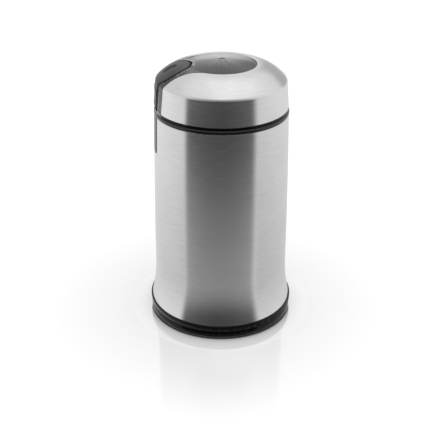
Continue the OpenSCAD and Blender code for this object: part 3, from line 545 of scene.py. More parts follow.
# %% Steels and other metals
STEEL = dict(Metallic=1.0, Anisotropic=0.6, Anisotropic_Rotation=0.25, brushed=True)
for slot in ("housing_steel", "cover_steel"):
    finish(slot, "round_brushing", 7000, (0.48, 0.83), (0.18, 0.24), 0.0008, **STEEL)

# Slot, pattern, how fine it is, two colours, two roughnesses, relief, and how metallic it is
METALS = [
    ("bowl_steel", "round_brushing", 5000, (0.62, 0.74), (0.16, 0.24), 0.0006, 1.0),
    ("blade_steel", "grain", 1800, (0.60, 0.72), (0.14, 0.26), 0.0006, 1.0),
    ("zinc_steel", "grain", 1200, ((0.50, 0.52, 0.54), (0.62, 0.63, 0.63)), (0.26, 0.42), 0.002,
     1.0),
    ("spring_steel", "bands", 4000, (0.42, 0.55), (0.22, 0.34), 0.001, 1.0),
    ("shaft_steel", "round_brushing", 9000, (0.50, 0.60), (0.18, 0.28), 0.0006, 1.0),
    ("lamination_steel", "bands", 2000, (0.16, 0.30), (0.35, 0.50), 0.03, 0.9),
    ("bearing_bronze", "grain", 4500, ((0.32, 0.21, 0.10), (0.45, 0.30, 0.15)), (0.36, 0.50),
     0.006, 1.0),
]
for *values, metallic in METALS:
    finish(*values, Metallic=metallic)
finish("copper", "bands", 2500, ((0.45, 0.17, 0.08), (0.66, 0.30, 0.16)), (0.22, 0.36), 0.04,
       Wander=1.2, Metallic=0.9)
print(len(finishes), "metals")

# %% [markdown]
# The base ring, the collar, the lid's rim and the front strip are polished black plastic, and the
# button is a softer, dark grey one. The collar is the same black as the ring, but mirrors more, so
# that its round shoulder catches a line of light. The pieces underneath and inside have the finer
# or coarser grain of a plain mould.

# %% Plastics and rubbers
finish("black_gloss", "grain", 900, (0.0006, 0.0014), (0.07, 0.13), 0.0004, Specular_IOR_Level=0.18)
finish("collar_gloss", "grain", 900, (0.0006, 0.0014), (0.10, 0.16), 0.0004, Specular_IOR_Level=0.5)
finish("button_plastic", "grain", 1400, ((0.012, 0.012, 0.013), (0.028, 0.028, 0.030)),
       (0.30, 0.46), 0.012, Specular_IOR_Level=0.35)

# Slot, grains to the metre, two colours, two roughnesses and relief
PLAIN = [
    ("base_plastic", 1800, (0.018, 0.030), (0.50, 0.62), 0.015),
    ("frame_plastic", 1200, (0.030, 0.045), (0.48, 0.60), 0.008),
    ("foot_rubber", 3200, (0.012, 0.024), (0.68, 0.85), 0.012),
    ("seal_rubber", 2400, (0.055, 0.085), (0.55, 0.70), 0.006),
    ("holder_plastic", 2500, ((0.10, 0.045, 0.02), (0.14, 0.065, 0.03)), (0.45, 0.55), 0.006),
    ("carbon", 4200, (0.010, 0.035), (0.42, 0.60), 0.01),
    ("switch_plastic", 2500, (0.02, 0.032), (0.40, 0.52), 0.005),
    ("capacitor_film", 1500, ((0.42, 0.30, 0.05), (0.52, 0.38, 0.08)), (0.28, 0.40), 0.004),
    ("white_plastic", 2500, (0.62, 0.70), (0.38, 0.50), 0.004),
    ("stem_plastic", 2500, ((0.42, 0.03, 0.02), (0.52, 0.045, 0.03)), (0.36, 0.46), 0.004),
    ("lead_insulation", 900, ((0.03, 0.05, 0.16), (0.05, 0.08, 0.22)), (0.40, 0.52), 0.003),
]
for slot, *values in PLAIN:
    finish(slot, "grain", *values)
print(len(finishes), "finishes so far")

# %% [markdown]
# The lid's shell is clear plastic with a smoky tint. It is a real wall with two faces, so it
# mirrors the room on both, more strongly the flatter it is looked along, and shows the bowl only
# faintly. Seen from above it is dark, and its far side is nearly white. Its frost and its rays get
# a coat, which makes them glint, and the frost's specks are painted the light tint as glitter.

# %% Smoky clear plastic
# The light tint, 1.0, is painted glitter on the frost's specks; the smoky 0.28 is the plastic's own
finish("smoky_clear", "moulded_clear", None, (0.28, 1.0), (0.015, 0.32), 0.012,
       Transmission_Weight=1.0, IOR=1.53)
print(len(finishes), "finishes")

# %% [markdown]
# ## Putting a piece in its place
# The CAD model's own pieces keep their shape, and each gets the finish of its slot. A new piece is
# already where it belongs, because its place is in its points. It only has to be told which body
# it rides on, which slot its finish comes from and which CAD node it stands for.

# %% Dress the CAD pieces, and place new ones
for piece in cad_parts.values():
    for number, old in enumerate(piece.data.materials):
        piece.data.materials[number] = finishes[old.name.split(".")[0]]
print("finished", len(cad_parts), "CAD pieces")


def place(piece, body, slot, *nodes, shine=None):
    """Let a piece ride on its body, take its finish from a slot and stand for its CAD nodes. A
    piece that shines otherwise than the rest of its slot names its own finish."""
    piece.data.materials.clear()
    piece.data.materials.append(finishes[shine or slot])
    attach(piece, body)
    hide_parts(*nodes)
    print(piece.name, len(piece.data.polygons), "faces")
    return piece


# %% [markdown]
# ## Sizes that the pieces share
# These repeat the CAD model's own sizes, in millimetres, because a surface that is carried round
# the axis needs its outline and not only its box. The housing flares out at the foot by a power
# law and tapers gently from the waist to the rim by another.

# %% The housing's outline
BASE_H, WAIST_Z, SHELL_TOP, BODY_H = 9.0, 38.0, 140.6, 143.2
BODY_R, WAIST_R, FOOT_R, BASE_R = 42.3, 44.0, 47.2, 48.0
FOOT_POWER, BARREL_POWER = 2.3, 1.8
SHELL_T = 0.8


def housing_radius(z):
    """Radius of the steel at height z. Below the waist the foot flares out by a power of the
    height below it, and above it the barrel draws in by a power of the height above it."""
    fall = np.maximum(WAIST_Z - z, 0) / (WAIST_Z - BASE_H)
    rise = np.maximum(z - WAIST_Z, 0) / (SHELL_TOP - WAIST_Z)
    foot = WAIST_R + (FOOT_R - WAIST_R) * fall ** FOOT_POWER
    return np.where(z < WAIST_Z, foot, BODY_R + (WAIST_R - BODY_R) * (1 - rise ** BARREL_POWER))


def between(*stops, steps):
    """Numbers that run from stop to stop, with so many steps in each stretch."""
    parts = [np.linspace(a, b, n, endpoint=False) for a, b, n in zip(stops, stops[1:], steps)]
    return np.concatenate([*parts, [stops[-1]]])


print("the waist is", round(float(housing_radius(WAIST_Z)), 1), "mm in radius, and the foot",
      round(float(housing_radius(BASE_H)), 1), "mm")

# %% [markdown]
# The brushed finish needs to know which way the brushing runs at every point. A UV map can say so:
# one of its directions runs round the axis, and the other climbs.

# %% The way the brushing runs
UV_PER_METRE = 4


def read(things, name, width=1, kind=np.float32):
    """One property of all vertices, corners or faces, as an array."""
    values = np.zeros(len(things) * width, kind)
    things.foreach_get(name, values)
    return values.reshape(-1, width) if width > 1 else values


def brushed_map(piece):
    """Give the piece the UV map "around": u is the angle round the axis, in turns, and v is height
    less radius. A face that crosses the back has its angles brought to one side of it."""
    mesh = piece.data
    corner = read(mesh.loops, "vertex_index", kind=np.int32)
    x, y, z = read(mesh.vertices, "co", 3)[corner].T
    sizes = read(mesh.polygons, "loop_total", kind=np.int32)
    mx, my, _ = np.repeat(read(mesh.polygons, "center", 3), sizes, 0).T
    turn, home = np.arctan2(x, -y) / (2 * np.pi), np.arctan2(mx, -my) / (2 * np.pi)
    turn -= np.round(turn - home)
    uv = np.stack([turn, (z - np.hypot(x, y)) * UV_PER_METRE], -1)
    layer = mesh.uv_layers.get("around") or mesh.uv_layers.new(name="around")
    layer.data.foreach_set("uv", uv.astype(np.float32).ravel())
    return piece


# %% [markdown]
# ## The steel housing
# The housing is one drawn tube of stainless sheet with a notch at the front, where the plastic
# strip sits. It could be a lathed profile with the notch cut out afterwards. It is simpler to let
# one column of the sheet of points run along the notch's edge, round its lower corners, and to
# leave out the cells inside it.

# %% The housing
STRIP_W, STRIP_LOW, STRIP_ROUND, SEAM = 10.0, 116.2, 3.0, 0.1
HOUSING_ROWS, NOTCH_COLUMNS, BACK_COLUMNS = (30, 40, 10, 16), 25, 200
ROUNDED, ROUNDED_THIN, ROUNDED_COVER = 0.12, 0.1, 0.2


def strip_half(z, grow=0.0):
    """Half the strip's width at height z: it narrows over its two rounded lower corners."""
    low = np.clip(STRIP_LOW + STRIP_ROUND - z, 0, STRIP_ROUND)
    return STRIP_W + grow - STRIP_ROUND + np.sqrt(STRIP_ROUND**2 - low**2)


def housing():
    """A sheet in height and angle at the housing's radius, and one a sheet's thickness inside it.
    The front columns run from one side of the notch to the other: their angle is the arc sine of
    the half width over the radius."""
    notch_low = STRIP_LOW - SEAM
    z = between(BASE_H, WAIST_Z, notch_low, notch_low + STRIP_ROUND, SHELL_TOP, steps=HOUSING_ROWS)
    edge = np.arcsin(strip_half(z + SEAM, SEAM) / housing_radius(z))[:, None]
    front = edge * np.linspace(-1, 1, NOTCH_COLUMNS)
    back = edge + (2 * np.pi - 2 * edge) * np.linspace(0, 1, BACK_COLUMNS)[1:-1]
    angle = np.concatenate([front, back], 1)
    keep = np.ones((len(z) - 1, angle.shape[1]), bool)
    keep[z[:-1] > notch_low - WELD, :NOTCH_COLUMNS - 1] = False
    r = housing_radius(z)[:, None]
    shell = wall(ring_points(r, angle, z[:, None]), ring_points(r - SHELL_T, angle, z[:, None]),
                 ring=True, keep=keep)
    return brushed_map(round_edges(object_of("steel_housing", *shell), ROUNDED))


place(housing(), "housing", "housing_steel", "housing_shell")

# %% [markdown]
# ## The base ring, the collar and the rim
# These three are moulded black rings. The base ring has a groove all round that breaks its height
# and a hole at the back for the cord's bush. The collar ends the housing, has a round shoulder and
# a slot in front for the push rod. The rim sits under the steel cover and stops either side of the
# button. All are outlines carried round the axis, with their edges broken.

# %% The base ring
BASE_LOW, BASE_IN_R, LOW_R = 0.6, 44.6, 47.65
GROOVE_LOW, GROOVE_TOP, GROOVE_R = 4.9, 5.5, 47.05
COVER_TOP, LEDGE_TOP, LEDGE_R = 3.2, 5.0, 42.5
LIP_R, LIP_TOP = BASE_IN_R + 1.2, BASE_H + 2
LOW_ROUND, LOW_ROUND_MIDDLE = 0.5, 0.15
TOP_ROUND, TOP_ROUND_MIDDLE = 0.3, 0.09
BUSH_R, BUSH_Z, BUSH_SIDES, DRILL_OVER = 3.7, 4.8, 48, 3


def base_ring():
    """The ring's outline, from its lower inner corner outwards, up, over the lip and back down.
    The drill is a cylinder along Y: radius times cosine and sine of the angle, at two places."""
    ring = turned("black_base_ring", [
        (BASE_IN_R, BASE_LOW), (LOW_R - LOW_ROUND, BASE_LOW),
        (LOW_R - LOW_ROUND_MIDDLE, BASE_LOW + LOW_ROUND_MIDDLE), (LOW_R, BASE_LOW + LOW_ROUND),
        (LOW_R, GROOVE_LOW), (GROOVE_R, GROOVE_LOW), (GROOVE_R, GROOVE_TOP), (BASE_R, GROOVE_TOP),
        (BASE_R, BASE_H - TOP_ROUND), (BASE_R - TOP_ROUND_MIDDLE, BASE_H - TOP_ROUND_MIDDLE),
        (BASE_R - TOP_ROUND, BASE_H), (LIP_R, BASE_H), (LIP_R, LIP_TOP), (BASE_IN_R, LIP_TOP),
        (BASE_IN_R, LEDGE_TOP), (LEDGE_R, LEDGE_TOP), (LEDGE_R, COVER_TOP), (BASE_IN_R, COVER_TOP)])
    round_edges(ring, ROUNDED)
    turn = np.linspace(0, 2 * np.pi, BUSH_SIDES, endpoint=False)
    x, z = BUSH_R * np.cos(turn), BUSH_Z + BUSH_R * np.sin(turn)
    y = np.array([[LEDGE_R - DRILL_OVER], [BASE_R + DRILL_OVER]])
    points = np.stack(np.broadcast_arrays(x, y, z), -1).reshape(-1, 3)
    loop = np.arange(BUSH_SIDES)
    faces = np.concatenate([cells(2, BUSH_SIDES, ring=True), cap(loop),
                            cap(loop + BUSH_SIDES)[:, ::-1]])
    return combine(ring, [object_of("bush_hole", points, faces)], "DIFFERENCE")


place(base_ring(), "housing", "black_gloss", "base_ring")

# %% [markdown]
# The collar's upper shoulder is a quarter circle. It mirrors the room's top all round, as one thin
# bright line. The rim above it is set back, so that the two are told apart by a dark gap.

# %% The collar and the rim
COLLAR_R, NECK_R, NECK_IN_R, NECK_TOP = 42.55, 37.0, 35.6, 147.5
COLLAR_ROUND, COLLAR_FOOT, ROUND_POINTS = 1.1, 0.3, 9
SKIRT_R, SKIRT_IN_R, SKIRT_Z = 41.3, 39.9, 132.6
ROD_R, ROD_T, ROD_HALF, ROD_GAP, SLOT_OVER = 38.7, 1.5, 5.5, 0.3, 1
RIM_R, RIM_IN_R, RIM_LOW, LID_EDGE = 42.1, 39.05, 143.3, 145.0
RIM_FOOT, RIM_HEAD, CHANNEL_W = 0.3, 0.25, 16.25


def collar():
    """The collar's outline, from the skirt that hangs inside the housing up over the shoulder and
    the neck. The shoulder's points lie a quarter turn round its centre."""
    turn = np.linspace(0, np.pi / 2, ROUND_POINTS)
    shoulder = np.stack([COLLAR_R - COLLAR_ROUND * (1 - np.cos(turn)),
                         BODY_H - COLLAR_ROUND * (1 - np.sin(turn))], -1)
    ring = turned("black_collar", [
        (NECK_IN_R, SHELL_TOP), (SKIRT_IN_R, SHELL_TOP), (SKIRT_IN_R, SKIRT_Z), (SKIRT_R, SKIRT_Z),
        (SKIRT_R, SHELL_TOP), (COLLAR_R - COLLAR_FOOT, SHELL_TOP),
        (COLLAR_R, SHELL_TOP + COLLAR_FOOT), *shoulder, (NECK_R, BODY_H), (NECK_R, NECK_TOP),
        (NECK_IN_R, NECK_TOP)])
    round_edges(ring, ROUNDED)
    half = ROD_HALF + ROD_GAP
    slot = curved_bar("rod_slot", ROD_R - ROD_GAP, ROD_R + ROD_T + ROD_GAP, SKIRT_Z - SLOT_OVER,
                      BODY_H + SLOT_OVER, -half, half)
    return combine(ring, [slot], "DIFFERENCE")


def rim():
    """A flat ring with both outer edges cut off, open at the front where the button passes."""
    ring = turned("black_lid_rim", [
        (RIM_IN_R, RIM_LOW), (RIM_R - RIM_FOOT, RIM_LOW), (RIM_R, RIM_LOW + RIM_FOOT),
        (RIM_R, LID_EDGE - RIM_HEAD), (RIM_R - RIM_HEAD, LID_EDGE), (RIM_IN_R, LID_EDGE)],
        half_gap=CHANNEL_W + SEAM)
    return round_edges(ring, ROUNDED_THIN)


place(collar(), "housing", "black_gloss", "top_collar", shine="collar_gloss")
place(rim(), "lid", "black_gloss", "lid_rim")

# %% [markdown]
# ## The front strip
# The strip is a narrow plate that follows the housing's curve and stands a little proud. It is a
# sheet in height and width whose front is moved out by that much and dropped again along its
# edges by a quarter circle, and a thin flange behind it holds it in the notch. Rows and columns
# crowd towards the edges, where the surface bends.

# %% The front strip
STRIP_PROUD, STRIP_EDGE, STRIP_TOP, STRIP_BACK = 0.2, 0.3, SHELL_TOP - 0.05, SHELL_T + 0.15
FLANGE_LOW, FLANGE_TOP, FLANGE_HALF = STRIP_LOW - 1.6, SKIRT_Z - 1.5, STRIP_W + 1.5
FLANGE_FRONT, FLANGE_BACK = SHELL_T + 0.08, SHELL_T + 0.5
STRIP_ROWS, STRIP_COLUMNS, FLANGE_ROWS, FLANGE_COLUMNS = 61, 49, 12, 33


def crowded(count):
    """Numbers from -1 to 1, closer together at both ends: the sine of even angles."""
    return np.sin(np.linspace(-np.pi / 2, np.pi / 2, count))


def eased(count):
    """Numbers from 0 to 1, closer together at both ends: one less the cosine of even angles, by
    two."""
    return (1 - np.cos(np.pi * np.linspace(0, 1, count))) / 2


def rounded(distance, radius):
    """How far a rounded edge has dropped at this distance inside its outline: a quarter circle."""
    inside = np.clip(radius - distance, 0, radius)
    return radius - np.sqrt(radius**2 - inside**2)


def least(*values):
    """The smallest of several arrays, point by point."""
    return np.min(np.broadcast_arrays(*values), axis=0)


def front_strip():
    """At each point the front lies at the housing's radius and the proud height, less the drop of
    the rounded edge. The distance inside the edge is the least one to its sides, its foot and the
    circles of its lower corners."""
    z = STRIP_LOW + (STRIP_TOP - STRIP_LOW) * eased(STRIP_ROWS)[:, None]
    x, steel = strip_half(z) * crowded(STRIP_COLUMNS), housing_radius(z)
    corner = np.hypot(np.maximum(np.abs(x) - STRIP_W + STRIP_ROUND, 0),
                      np.maximum(STRIP_LOW + STRIP_ROUND - z, 0))
    inside = least(STRIP_W - np.abs(x), z - STRIP_LOW,
                   np.where(corner > 0, STRIP_ROUND - corner, STRIP_W))
    front = steel + STRIP_PROUD - rounded(np.maximum(inside, 0), STRIP_EDGE)
    strip = wall(on_curve(x, front, z), on_curve(x, steel - STRIP_BACK, z))
    z = between(FLANGE_LOW, FLANGE_TOP, steps=(FLANGE_ROWS,))[:, None]
    x = np.linspace(-FLANGE_HALF, FLANGE_HALF, FLANGE_COLUMNS)
    flange = wall(*(on_curve(x, housing_radius(z) - depth, z)
                    for depth in (FLANGE_FRONT, FLANGE_BACK)))
    return combine(object_of("black_front_strip", *strip), [object_of("flange", *flange)], "UNION")


place(front_strip(), "housing", "black_gloss", "front_strip")

# %% [markdown]
# ## The lid's outline
# The lid rises almost straight, turns over a soft crease, runs in over a gentle shoulder and ends
# in the window's low dome. The steel cover, the clear shell and the button all follow this one
# line at their own depth, so it is worked out once, closely, with its inward normals. A place on
# the lid is then a distance along the line, a depth below it and an angle round the axis.

# %% The lid's outline
CREASE_R, CREASE_Z, CORNER = 40.8, 161.7, 1.3
WINDOW_R, WINDOW_Z, DOME_RISE = 21.5, 171.2, 2.86
LID_FOOT_R = 42.05
SHOULDER_PULL = 0.52
FOOT_POINTS, CREASE_POINTS, SHOULDER_POINTS, DOME_POINTS = 30, 24, 80, 60


def bezier(a, b, c, steps):
    """A quadratic curve from a to c that is drawn towards b: (1 - t)² a + 2 (1 - t) t b + t² c."""
    t = np.linspace(0, 1, steps)[:, None]
    return (1 - t)**2 * np.array(a) + 2 * (1 - t) * t * np.array(b) + t**2 * np.array(c)


def lid_outline():
    """(distance, radius, height, inward normal) of close points from the lower edge to the top.
    The crease and the shoulder are quadratic curves, and the dome rises by one less the square of
    the radius over the window's. The normal is the line's direction, a quarter turn inwards."""
    crease, edge = np.array([CREASE_R, CREASE_Z]), np.array([WINDOW_R, WINDOW_Z])
    pull = edge + [SHOULDER_PULL * (CREASE_R - WINDOW_R), 0]
    turn_in = crease - [0, CORNER]
    turn_out = crease + CORNER * (pull - crease) / np.hypot(*(pull - crease))
    foot = np.linspace([LID_FOOT_R, LID_EDGE], turn_in, FOOT_POINTS)[:-1]
    r = np.linspace(WINDOW_R, 0, DOME_POINTS)[1:]
    dome = np.stack([r, WINDOW_Z + DOME_RISE * (1 - (r / WINDOW_R)**2)], -1)
    line = np.concatenate([foot, bezier(turn_in, crease, turn_out, CREASE_POINTS)[:-1],
                           bezier(turn_out, pull, edge, SHOULDER_POINTS), dome])
    way = np.gradient(line, axis=0)
    way[0], way[-1] = [0, 1], [-1, 0]
    way /= np.hypot(*way.T)[:, None]
    far = np.concatenate([[0], np.cumsum(np.hypot(*np.diff(line, axis=0).T))])
    return far, line[:, 0], line[:, 1], np.stack([-way[:, 1], way[:, 0]], -1)


LID_FAR, LID_R, LID_Z, LID_IN = lid_outline()
print("the lid's line is", round(float(LID_FAR[-1]), 1), "mm long")

# %% [markdown]
# Four small functions read the line: from a radius or a height to the distance along it, and from
# a distance and a depth back to radius and height.

# %% Reading the lid's line
def far_at_radius(r):
    """Distance along the lid's line at which its radius is r."""
    return np.interp(-np.asarray(r, float), -LID_R, LID_FAR)


def far_at_height(z):
    """Distance along the lid's line at which its height is z."""
    return np.interp(z, LID_Z, LID_FAR)


def lid_radius(far, depth):
    """The line's radius at this distance, and its normal's share of the depth."""
    return np.interp(far, LID_FAR, LID_R) + depth * np.interp(far, LID_FAR, LID_IN[:, 0])


def lid_height(far, depth):
    """The line's height at this distance, and its normal's share of the depth."""
    return np.interp(far, LID_FAR, LID_Z) + depth * np.interp(far, LID_FAR, LID_IN[:, 1])


def lid_line(far, depth, drop=0.0):
    """Points (radius, height) at these distances, this deep below the line and then lowered."""
    far = np.ravel(far)
    return np.stack([lid_radius(far, depth), lid_height(far, depth) - drop], -1)


CREASE_FROM, CREASE_TO = far_at_height(CREASE_Z - CORNER), far_at_radius(CREASE_R - CORNER)
print("its crease runs from", round(float(CREASE_FROM), 1), "to", round(float(CREASE_TO), 1), "mm")

# %% [markdown]
# ## Openings in plan
# From above, the cover's opening is a keyhole: a circle for the window and a straight channel for
# the button, joined by a wide fillet. The button has a round head on a straight foot. On a turned
# surface such a plan is an angle that depends on the radius. Along a straight side it is the arc
# sine of the half width over the radius, and along an arc the law of cosines gives it from the
# arc's centre and radius.

# %% Keyhole and button in plan
FILLET, TIP_Y, HEAD_R, BUTTON_HALF = 30.0, 19.5, 12.3, 8.2
HEAD_Y = TIP_Y + HEAD_R


def side_angle(half, r):
    """Angle from the front at which a straight side stands, half beside the middle."""
    return np.arcsin(np.clip(half / np.maximum(r, half), 0, 1))


def corner_angle(a, b, opposite):
    """Angle between two sides of a triangle, from the third: the law of cosines."""
    return np.arccos(np.clip((a**2 + b**2 - opposite**2) / (2 * a * b), -1, 1))


def keyhole_angle(r, grow=0.0):
    """Angle of the keyhole's edge at radius r: on the fillet it is the angle of the fillet's
    centre less the one between centre and edge, and inside the window it stays as it begins."""
    half, turn, hole = CHANNEL_W + grow, FILLET - grow, WINDOW_R + grow
    across = half + turn
    back = math.sqrt((hole + turn)**2 - across**2)
    r = np.maximum(r, hole)
    on_fillet = math.atan2(across, back) - corner_angle(r, hole + turn, turn)
    return np.where(r < math.hypot(half, back), on_fillet, side_angle(half, r))


def button_angle(r, grow=0.0):
    """Angle of the button's edge at radius r: none before its tip, then that of its round head,
    and past the head that of its straight side."""
    head, half = HEAD_R + grow, BUTTON_HALF + grow
    corner = math.hypot(half, HEAD_Y + math.sqrt(head**2 - half**2))
    on_head = corner_angle(np.clip(r, HEAD_Y - head, corner), HEAD_Y, head)
    return np.where(r < corner, on_head, side_angle(half, r))


def slab(name, upper, lower, half_angle, columns=97):
    """The solid between two lines of (radius, height) points, carried across the front: at each
    radius it reaches from one side of a plan to the other, whose edge half_angle gives."""
    across = crowded(columns)
    sheets = [ring_points(line[:, :1], half_angle(line[:, :1]) * across, line[:, 1:])
              for line in (upper, lower)]
    return object_of(name, *wall(*sheets))


begins = round(math.degrees(float(keyhole_angle(WINDOW_R))), 1)
print("the keyhole's edge leaves the window at", begins, "degrees")

# %% [markdown]
# ## The steel cover
# The cover is a drawn cap of thin sheet with the keyhole cut out. Each row of its sheet of points
# starts at the keyhole's edge on one side and runs round the back to the other.

# %% The steel cover
COVER_T, COVER_SEAM, COVER_BEND_R, COVER_SMOOTH = 0.7, 0.3, 30, 30
COVER_ROWS, COVER_COLUMNS = (24, 16, 22, 26), 241


def steel_cover():
    """Radius and height follow the lid's line at a depth of none and of the sheet's thickness, and
    the angle runs evenly from the keyhole's edge to a whole turn less that edge."""
    far = between(0, CREASE_FROM, CREASE_TO, far_at_radius(COVER_BEND_R),
                  far_at_radius(WINDOW_R + COVER_SEAM), steps=COVER_ROWS)[:, None]
    across = np.linspace(0, 1, COVER_COLUMNS)

    def sheet(depth):
        """The cover's surface at this depth."""
        r, z = lid_radius(far, depth), lid_height(far, depth)
        start = keyhole_angle(r, COVER_SEAM)
        return ring_points(r, start + (2 * np.pi - 2 * start) * across, z)

    cover = object_of("steel_lid_cover", *wall(sheet(0), sheet(COVER_T)),
                      smooth_below=COVER_SMOOTH)
    return brushed_map(round_edges(cover, ROUNDED_COVER))


place(steel_cover(), "lid", "cover_steel", "lid_cover")

# %% [markdown]
# ## The clear shell
# The shell is the body of the lid. Inside the keyhole it comes up flush with the steel, as the
# window's dome and as a surround on both sides of the button, and under the steel it lies one
# sheet lower. That is one sheet of points whose depth changes in a step at the keyhole's edge: the
# rows and columns that stand on the step are there twice, once at each depth. The shallow recess
# in the middle of the dome, where the mould was filled, is such a step too.

# %% The clear shell's skin
CLEAR_IN, CLEAR_T, CLEAR_BEND_R, CLEAR_SMOOTH = 0.75, 2.0, 28.3, 28
GATE_R, GATE_Z, DOME_ROWS, GATE_ROWS = 2.0, 173.7, 44, 4
SKIN_ROWS, LAND_COLUMNS, STEEL_COLUMNS = (18, 14, 16, 14), 25, 73


def clear_skin():
    """Radius and height follow the lid's line. The angle runs from the front to the keyhole's
    edge on the land, and from there to the back under the steel, where the depth is greater."""
    outside = between(0, CREASE_FROM, CREASE_TO, far_at_radius(CLEAR_BEND_R),
                      far_at_radius(WINDOW_R), steps=SKIN_ROWS)
    dome = np.concatenate([np.linspace(WINDOW_R, GATE_R, DOME_ROWS),
                           np.linspace(GATE_R, 0, GATE_ROWS)])
    far = np.concatenate([outside, far_at_radius(dome)])[:, None]
    number = np.arange(len(far))[:, None]
    under_cover = np.where(number < len(outside), CLEAR_IN, 0.0)
    recess = np.where(number >= len(far) - GATE_ROWS, lid_height(far, 0) - GATE_Z, 0.0)
    share = np.linspace(0, 1, LAND_COLUMNS), np.linspace(0, 1, STEEL_COLUMNS)

    def sheet(land_depth, steel_depth, drop):
        """One half, from the middle of the front to the middle of the back, and its mirror."""
        r, z = lid_radius(far, land_depth), lid_height(far, land_depth) - drop
        land = ring_points(r, keyhole_angle(r) * share[0], z)
        r, z = lid_radius(far, steel_depth), lid_height(far, steel_depth) - drop
        edge = keyhole_angle(r)
        half = np.concatenate([land, ring_points(r, edge + (np.pi - edge) * share[1], z)], 1)
        return np.concatenate([half, half[:, -2:0:-1] * [-1, 1, 1]], 1)

    thick = CLEAR_IN + CLEAR_T
    skin = wall(sheet(0.0, under_cover, recess), sheet(thick, thick, 0.0), ring=True)
    return object_of("clear_lid_shell", *skin, smooth_below=CLEAR_SMOOTH)


# %% [markdown]
# The rest of the shell is joined to the skin as plain solids, as a mould maker would cut them: the
# block that surrounds the button's well, the skirt that centres the lid on the housing's neck, the
# spring's cup and the bar that passes below the button. The well, the presser's pocket and the
# spring's hole are then cut out.

# %% The well round the button
BUTTON_UNDER, BUTTON_GAP = 1.5, 1.1
WELL_DROP, WELL_FLOOR, WELL_WALL, WELL_SUNK, WELL_ROWS = 2.0, 1.6, 1.6, 0.3, 50
SKIRT_LID_R, SKIRT_LID_OUT, SKIRT_LID_LOW = 37.35, 38.55, 143.5
SKIRT_SHORT, SKIRT_PAST, HAIR = 0.2, 0.7, 0.02
BAR_IN, BAR_TOP, HIGH = LID_FOOT_R - 1.3, RIM_LOW + 1.2, 190.0
FRONT_FROM, FRONT_TO, FRONT_ROWS = SKIRT_LID_OUT + 0.3, LID_FOOT_R + 3, 24


def well_block():
    """The walls and floor of the well, still solid: between the skin and the floor's underside."""
    start = far_at_radius(HEAD_Y - HEAD_R - BUTTON_GAP - WELL_WALL)

    def line(end, *depth):
        """The lid's line from the well's head to this radius, lowered, and kept in the skirt."""
        points = lid_line(np.linspace(start, far_at_radius(end), WELL_ROWS), *depth)
        points[:, 0] = np.minimum(points[:, 0], SKIRT_LID_OUT - HAIR)
        return points

    upper = line(SKIRT_LID_OUT - SKIRT_SHORT, CLEAR_IN + WELL_SUNK)
    lower = line(SKIRT_LID_OUT + SKIRT_PAST, BUTTON_UNDER, WELL_DROP + WELL_FLOOR)
    return slab("well_block", upper, lower, lambda r: button_angle(r, BUTTON_GAP + WELL_WALL))


def well_void():
    """What the well takes away: over its floor, and in front of the skirt down to the bar."""
    far = np.linspace(far_at_radius(HEAD_Y - HEAD_R - BUTTON_GAP),
                      far_at_radius(SKIRT_LID_OUT + SKIRT_PAST), WELL_ROWS)
    floor = lid_line(far, BUTTON_UNDER, WELL_DROP)
    floor = floor[floor[:, 0] < SKIRT_LID_OUT - HAIR]
    front = [(SKIRT_LID_OUT, floor[-1, 1]), (SKIRT_LID_OUT, BAR_TOP)]
    out = np.linspace([FRONT_FROM, BAR_TOP], [FRONT_TO, BAR_TOP], FRONT_ROWS)
    lower = np.concatenate([floor, front, out])
    upper = np.stack([lower[:, 0], np.full(len(lower), HIGH)], -1)
    return slab("well", upper, lower, lambda r: button_angle(r, BUTTON_GAP))


# %% [markdown]
# The button's presser and its spring need room inside the shell. The presser moves in a pocket
# behind the surround, and the spring stands in a cup that opens upwards, under the button's head.

# %% The finished shell
PRESSER_R, PRESSER_T, PRESSER_HALF, PRESSER_LOW, PRESSER_TOP = 38.7, 1.5, 10.7, 145.1, 157.7
POCKET_SIDE, POCKET_IN, POCKET_OUT, POCKET_UNDER = 0.35, 0.15, 0.2, 1
SPRING_Y, CUP_R, CUP_WALL, CUP_FLOOR, SPRING_TOP = 30.0, 2.9, 1.2, 160.3, 166.8
CUP_SHORT, SKIRT_UNDER, SIDE_OVER = 2, 1, 1


def stub(name, radius, z_low, z_high, y=0.0, steps=64):
    """A plain round stub standing at this y."""
    made = turned(name, [(0, z_low), (radius, z_low), (radius, z_high), (0, z_high)], steps)
    made.data.transform(Matrix.Translation((0, y * MM, 0)))
    return made


def clear_shell():
    """The skin, with the plain solids joined to it and the plain hollows cut out."""
    skirt_top = CREASE_Z - SKIRT_UNDER
    add = [well_block(),
           turned("skirt", [(SKIRT_LID_R, SKIRT_LID_LOW), (SKIRT_LID_OUT, SKIRT_LID_LOW),
                            (SKIRT_LID_OUT, skirt_top), (SKIRT_LID_R, skirt_top)]),
           stub("cup", CUP_R + CUP_WALL, CUP_FLOOR - CUP_WALL, SPRING_TOP - CUP_SHORT, -SPRING_Y),
           curved_bar("bar", BAR_IN, LID_FOOT_R, RIM_LOW, BAR_TOP, -CHANNEL_W, CHANNEL_W)]
    for side in (-1, 1):
        ends = sorted((side * (BUTTON_HALF + BUTTON_GAP), side * CHANNEL_W))
        add.append(curved_bar("side_end", BAR_IN, LID_FOOT_R, RIM_LOW, LID_EDGE + SIDE_OVER, *ends))
    pocket = PRESSER_HALF + POCKET_SIDE
    cut = [well_void(),
           curved_bar("pocket", PRESSER_R - POCKET_IN, PRESSER_R + PRESSER_T + POCKET_OUT,
                      RIM_LOW - POCKET_UNDER, PRESSER_TOP + POCKET_OUT, -pocket, pocket),
           stub("spring_hole", CUP_R, CUP_FLOOR, WINDOW_Z, -SPRING_Y)]
    shell = combine(clear_skin(), add, "UNION")
    return combine(shell, cut, "DIFFERENCE", smooth_below=CLEAR_SMOOTH)


place(clear_shell(), "lid", "smoky_clear", "lid_shell")
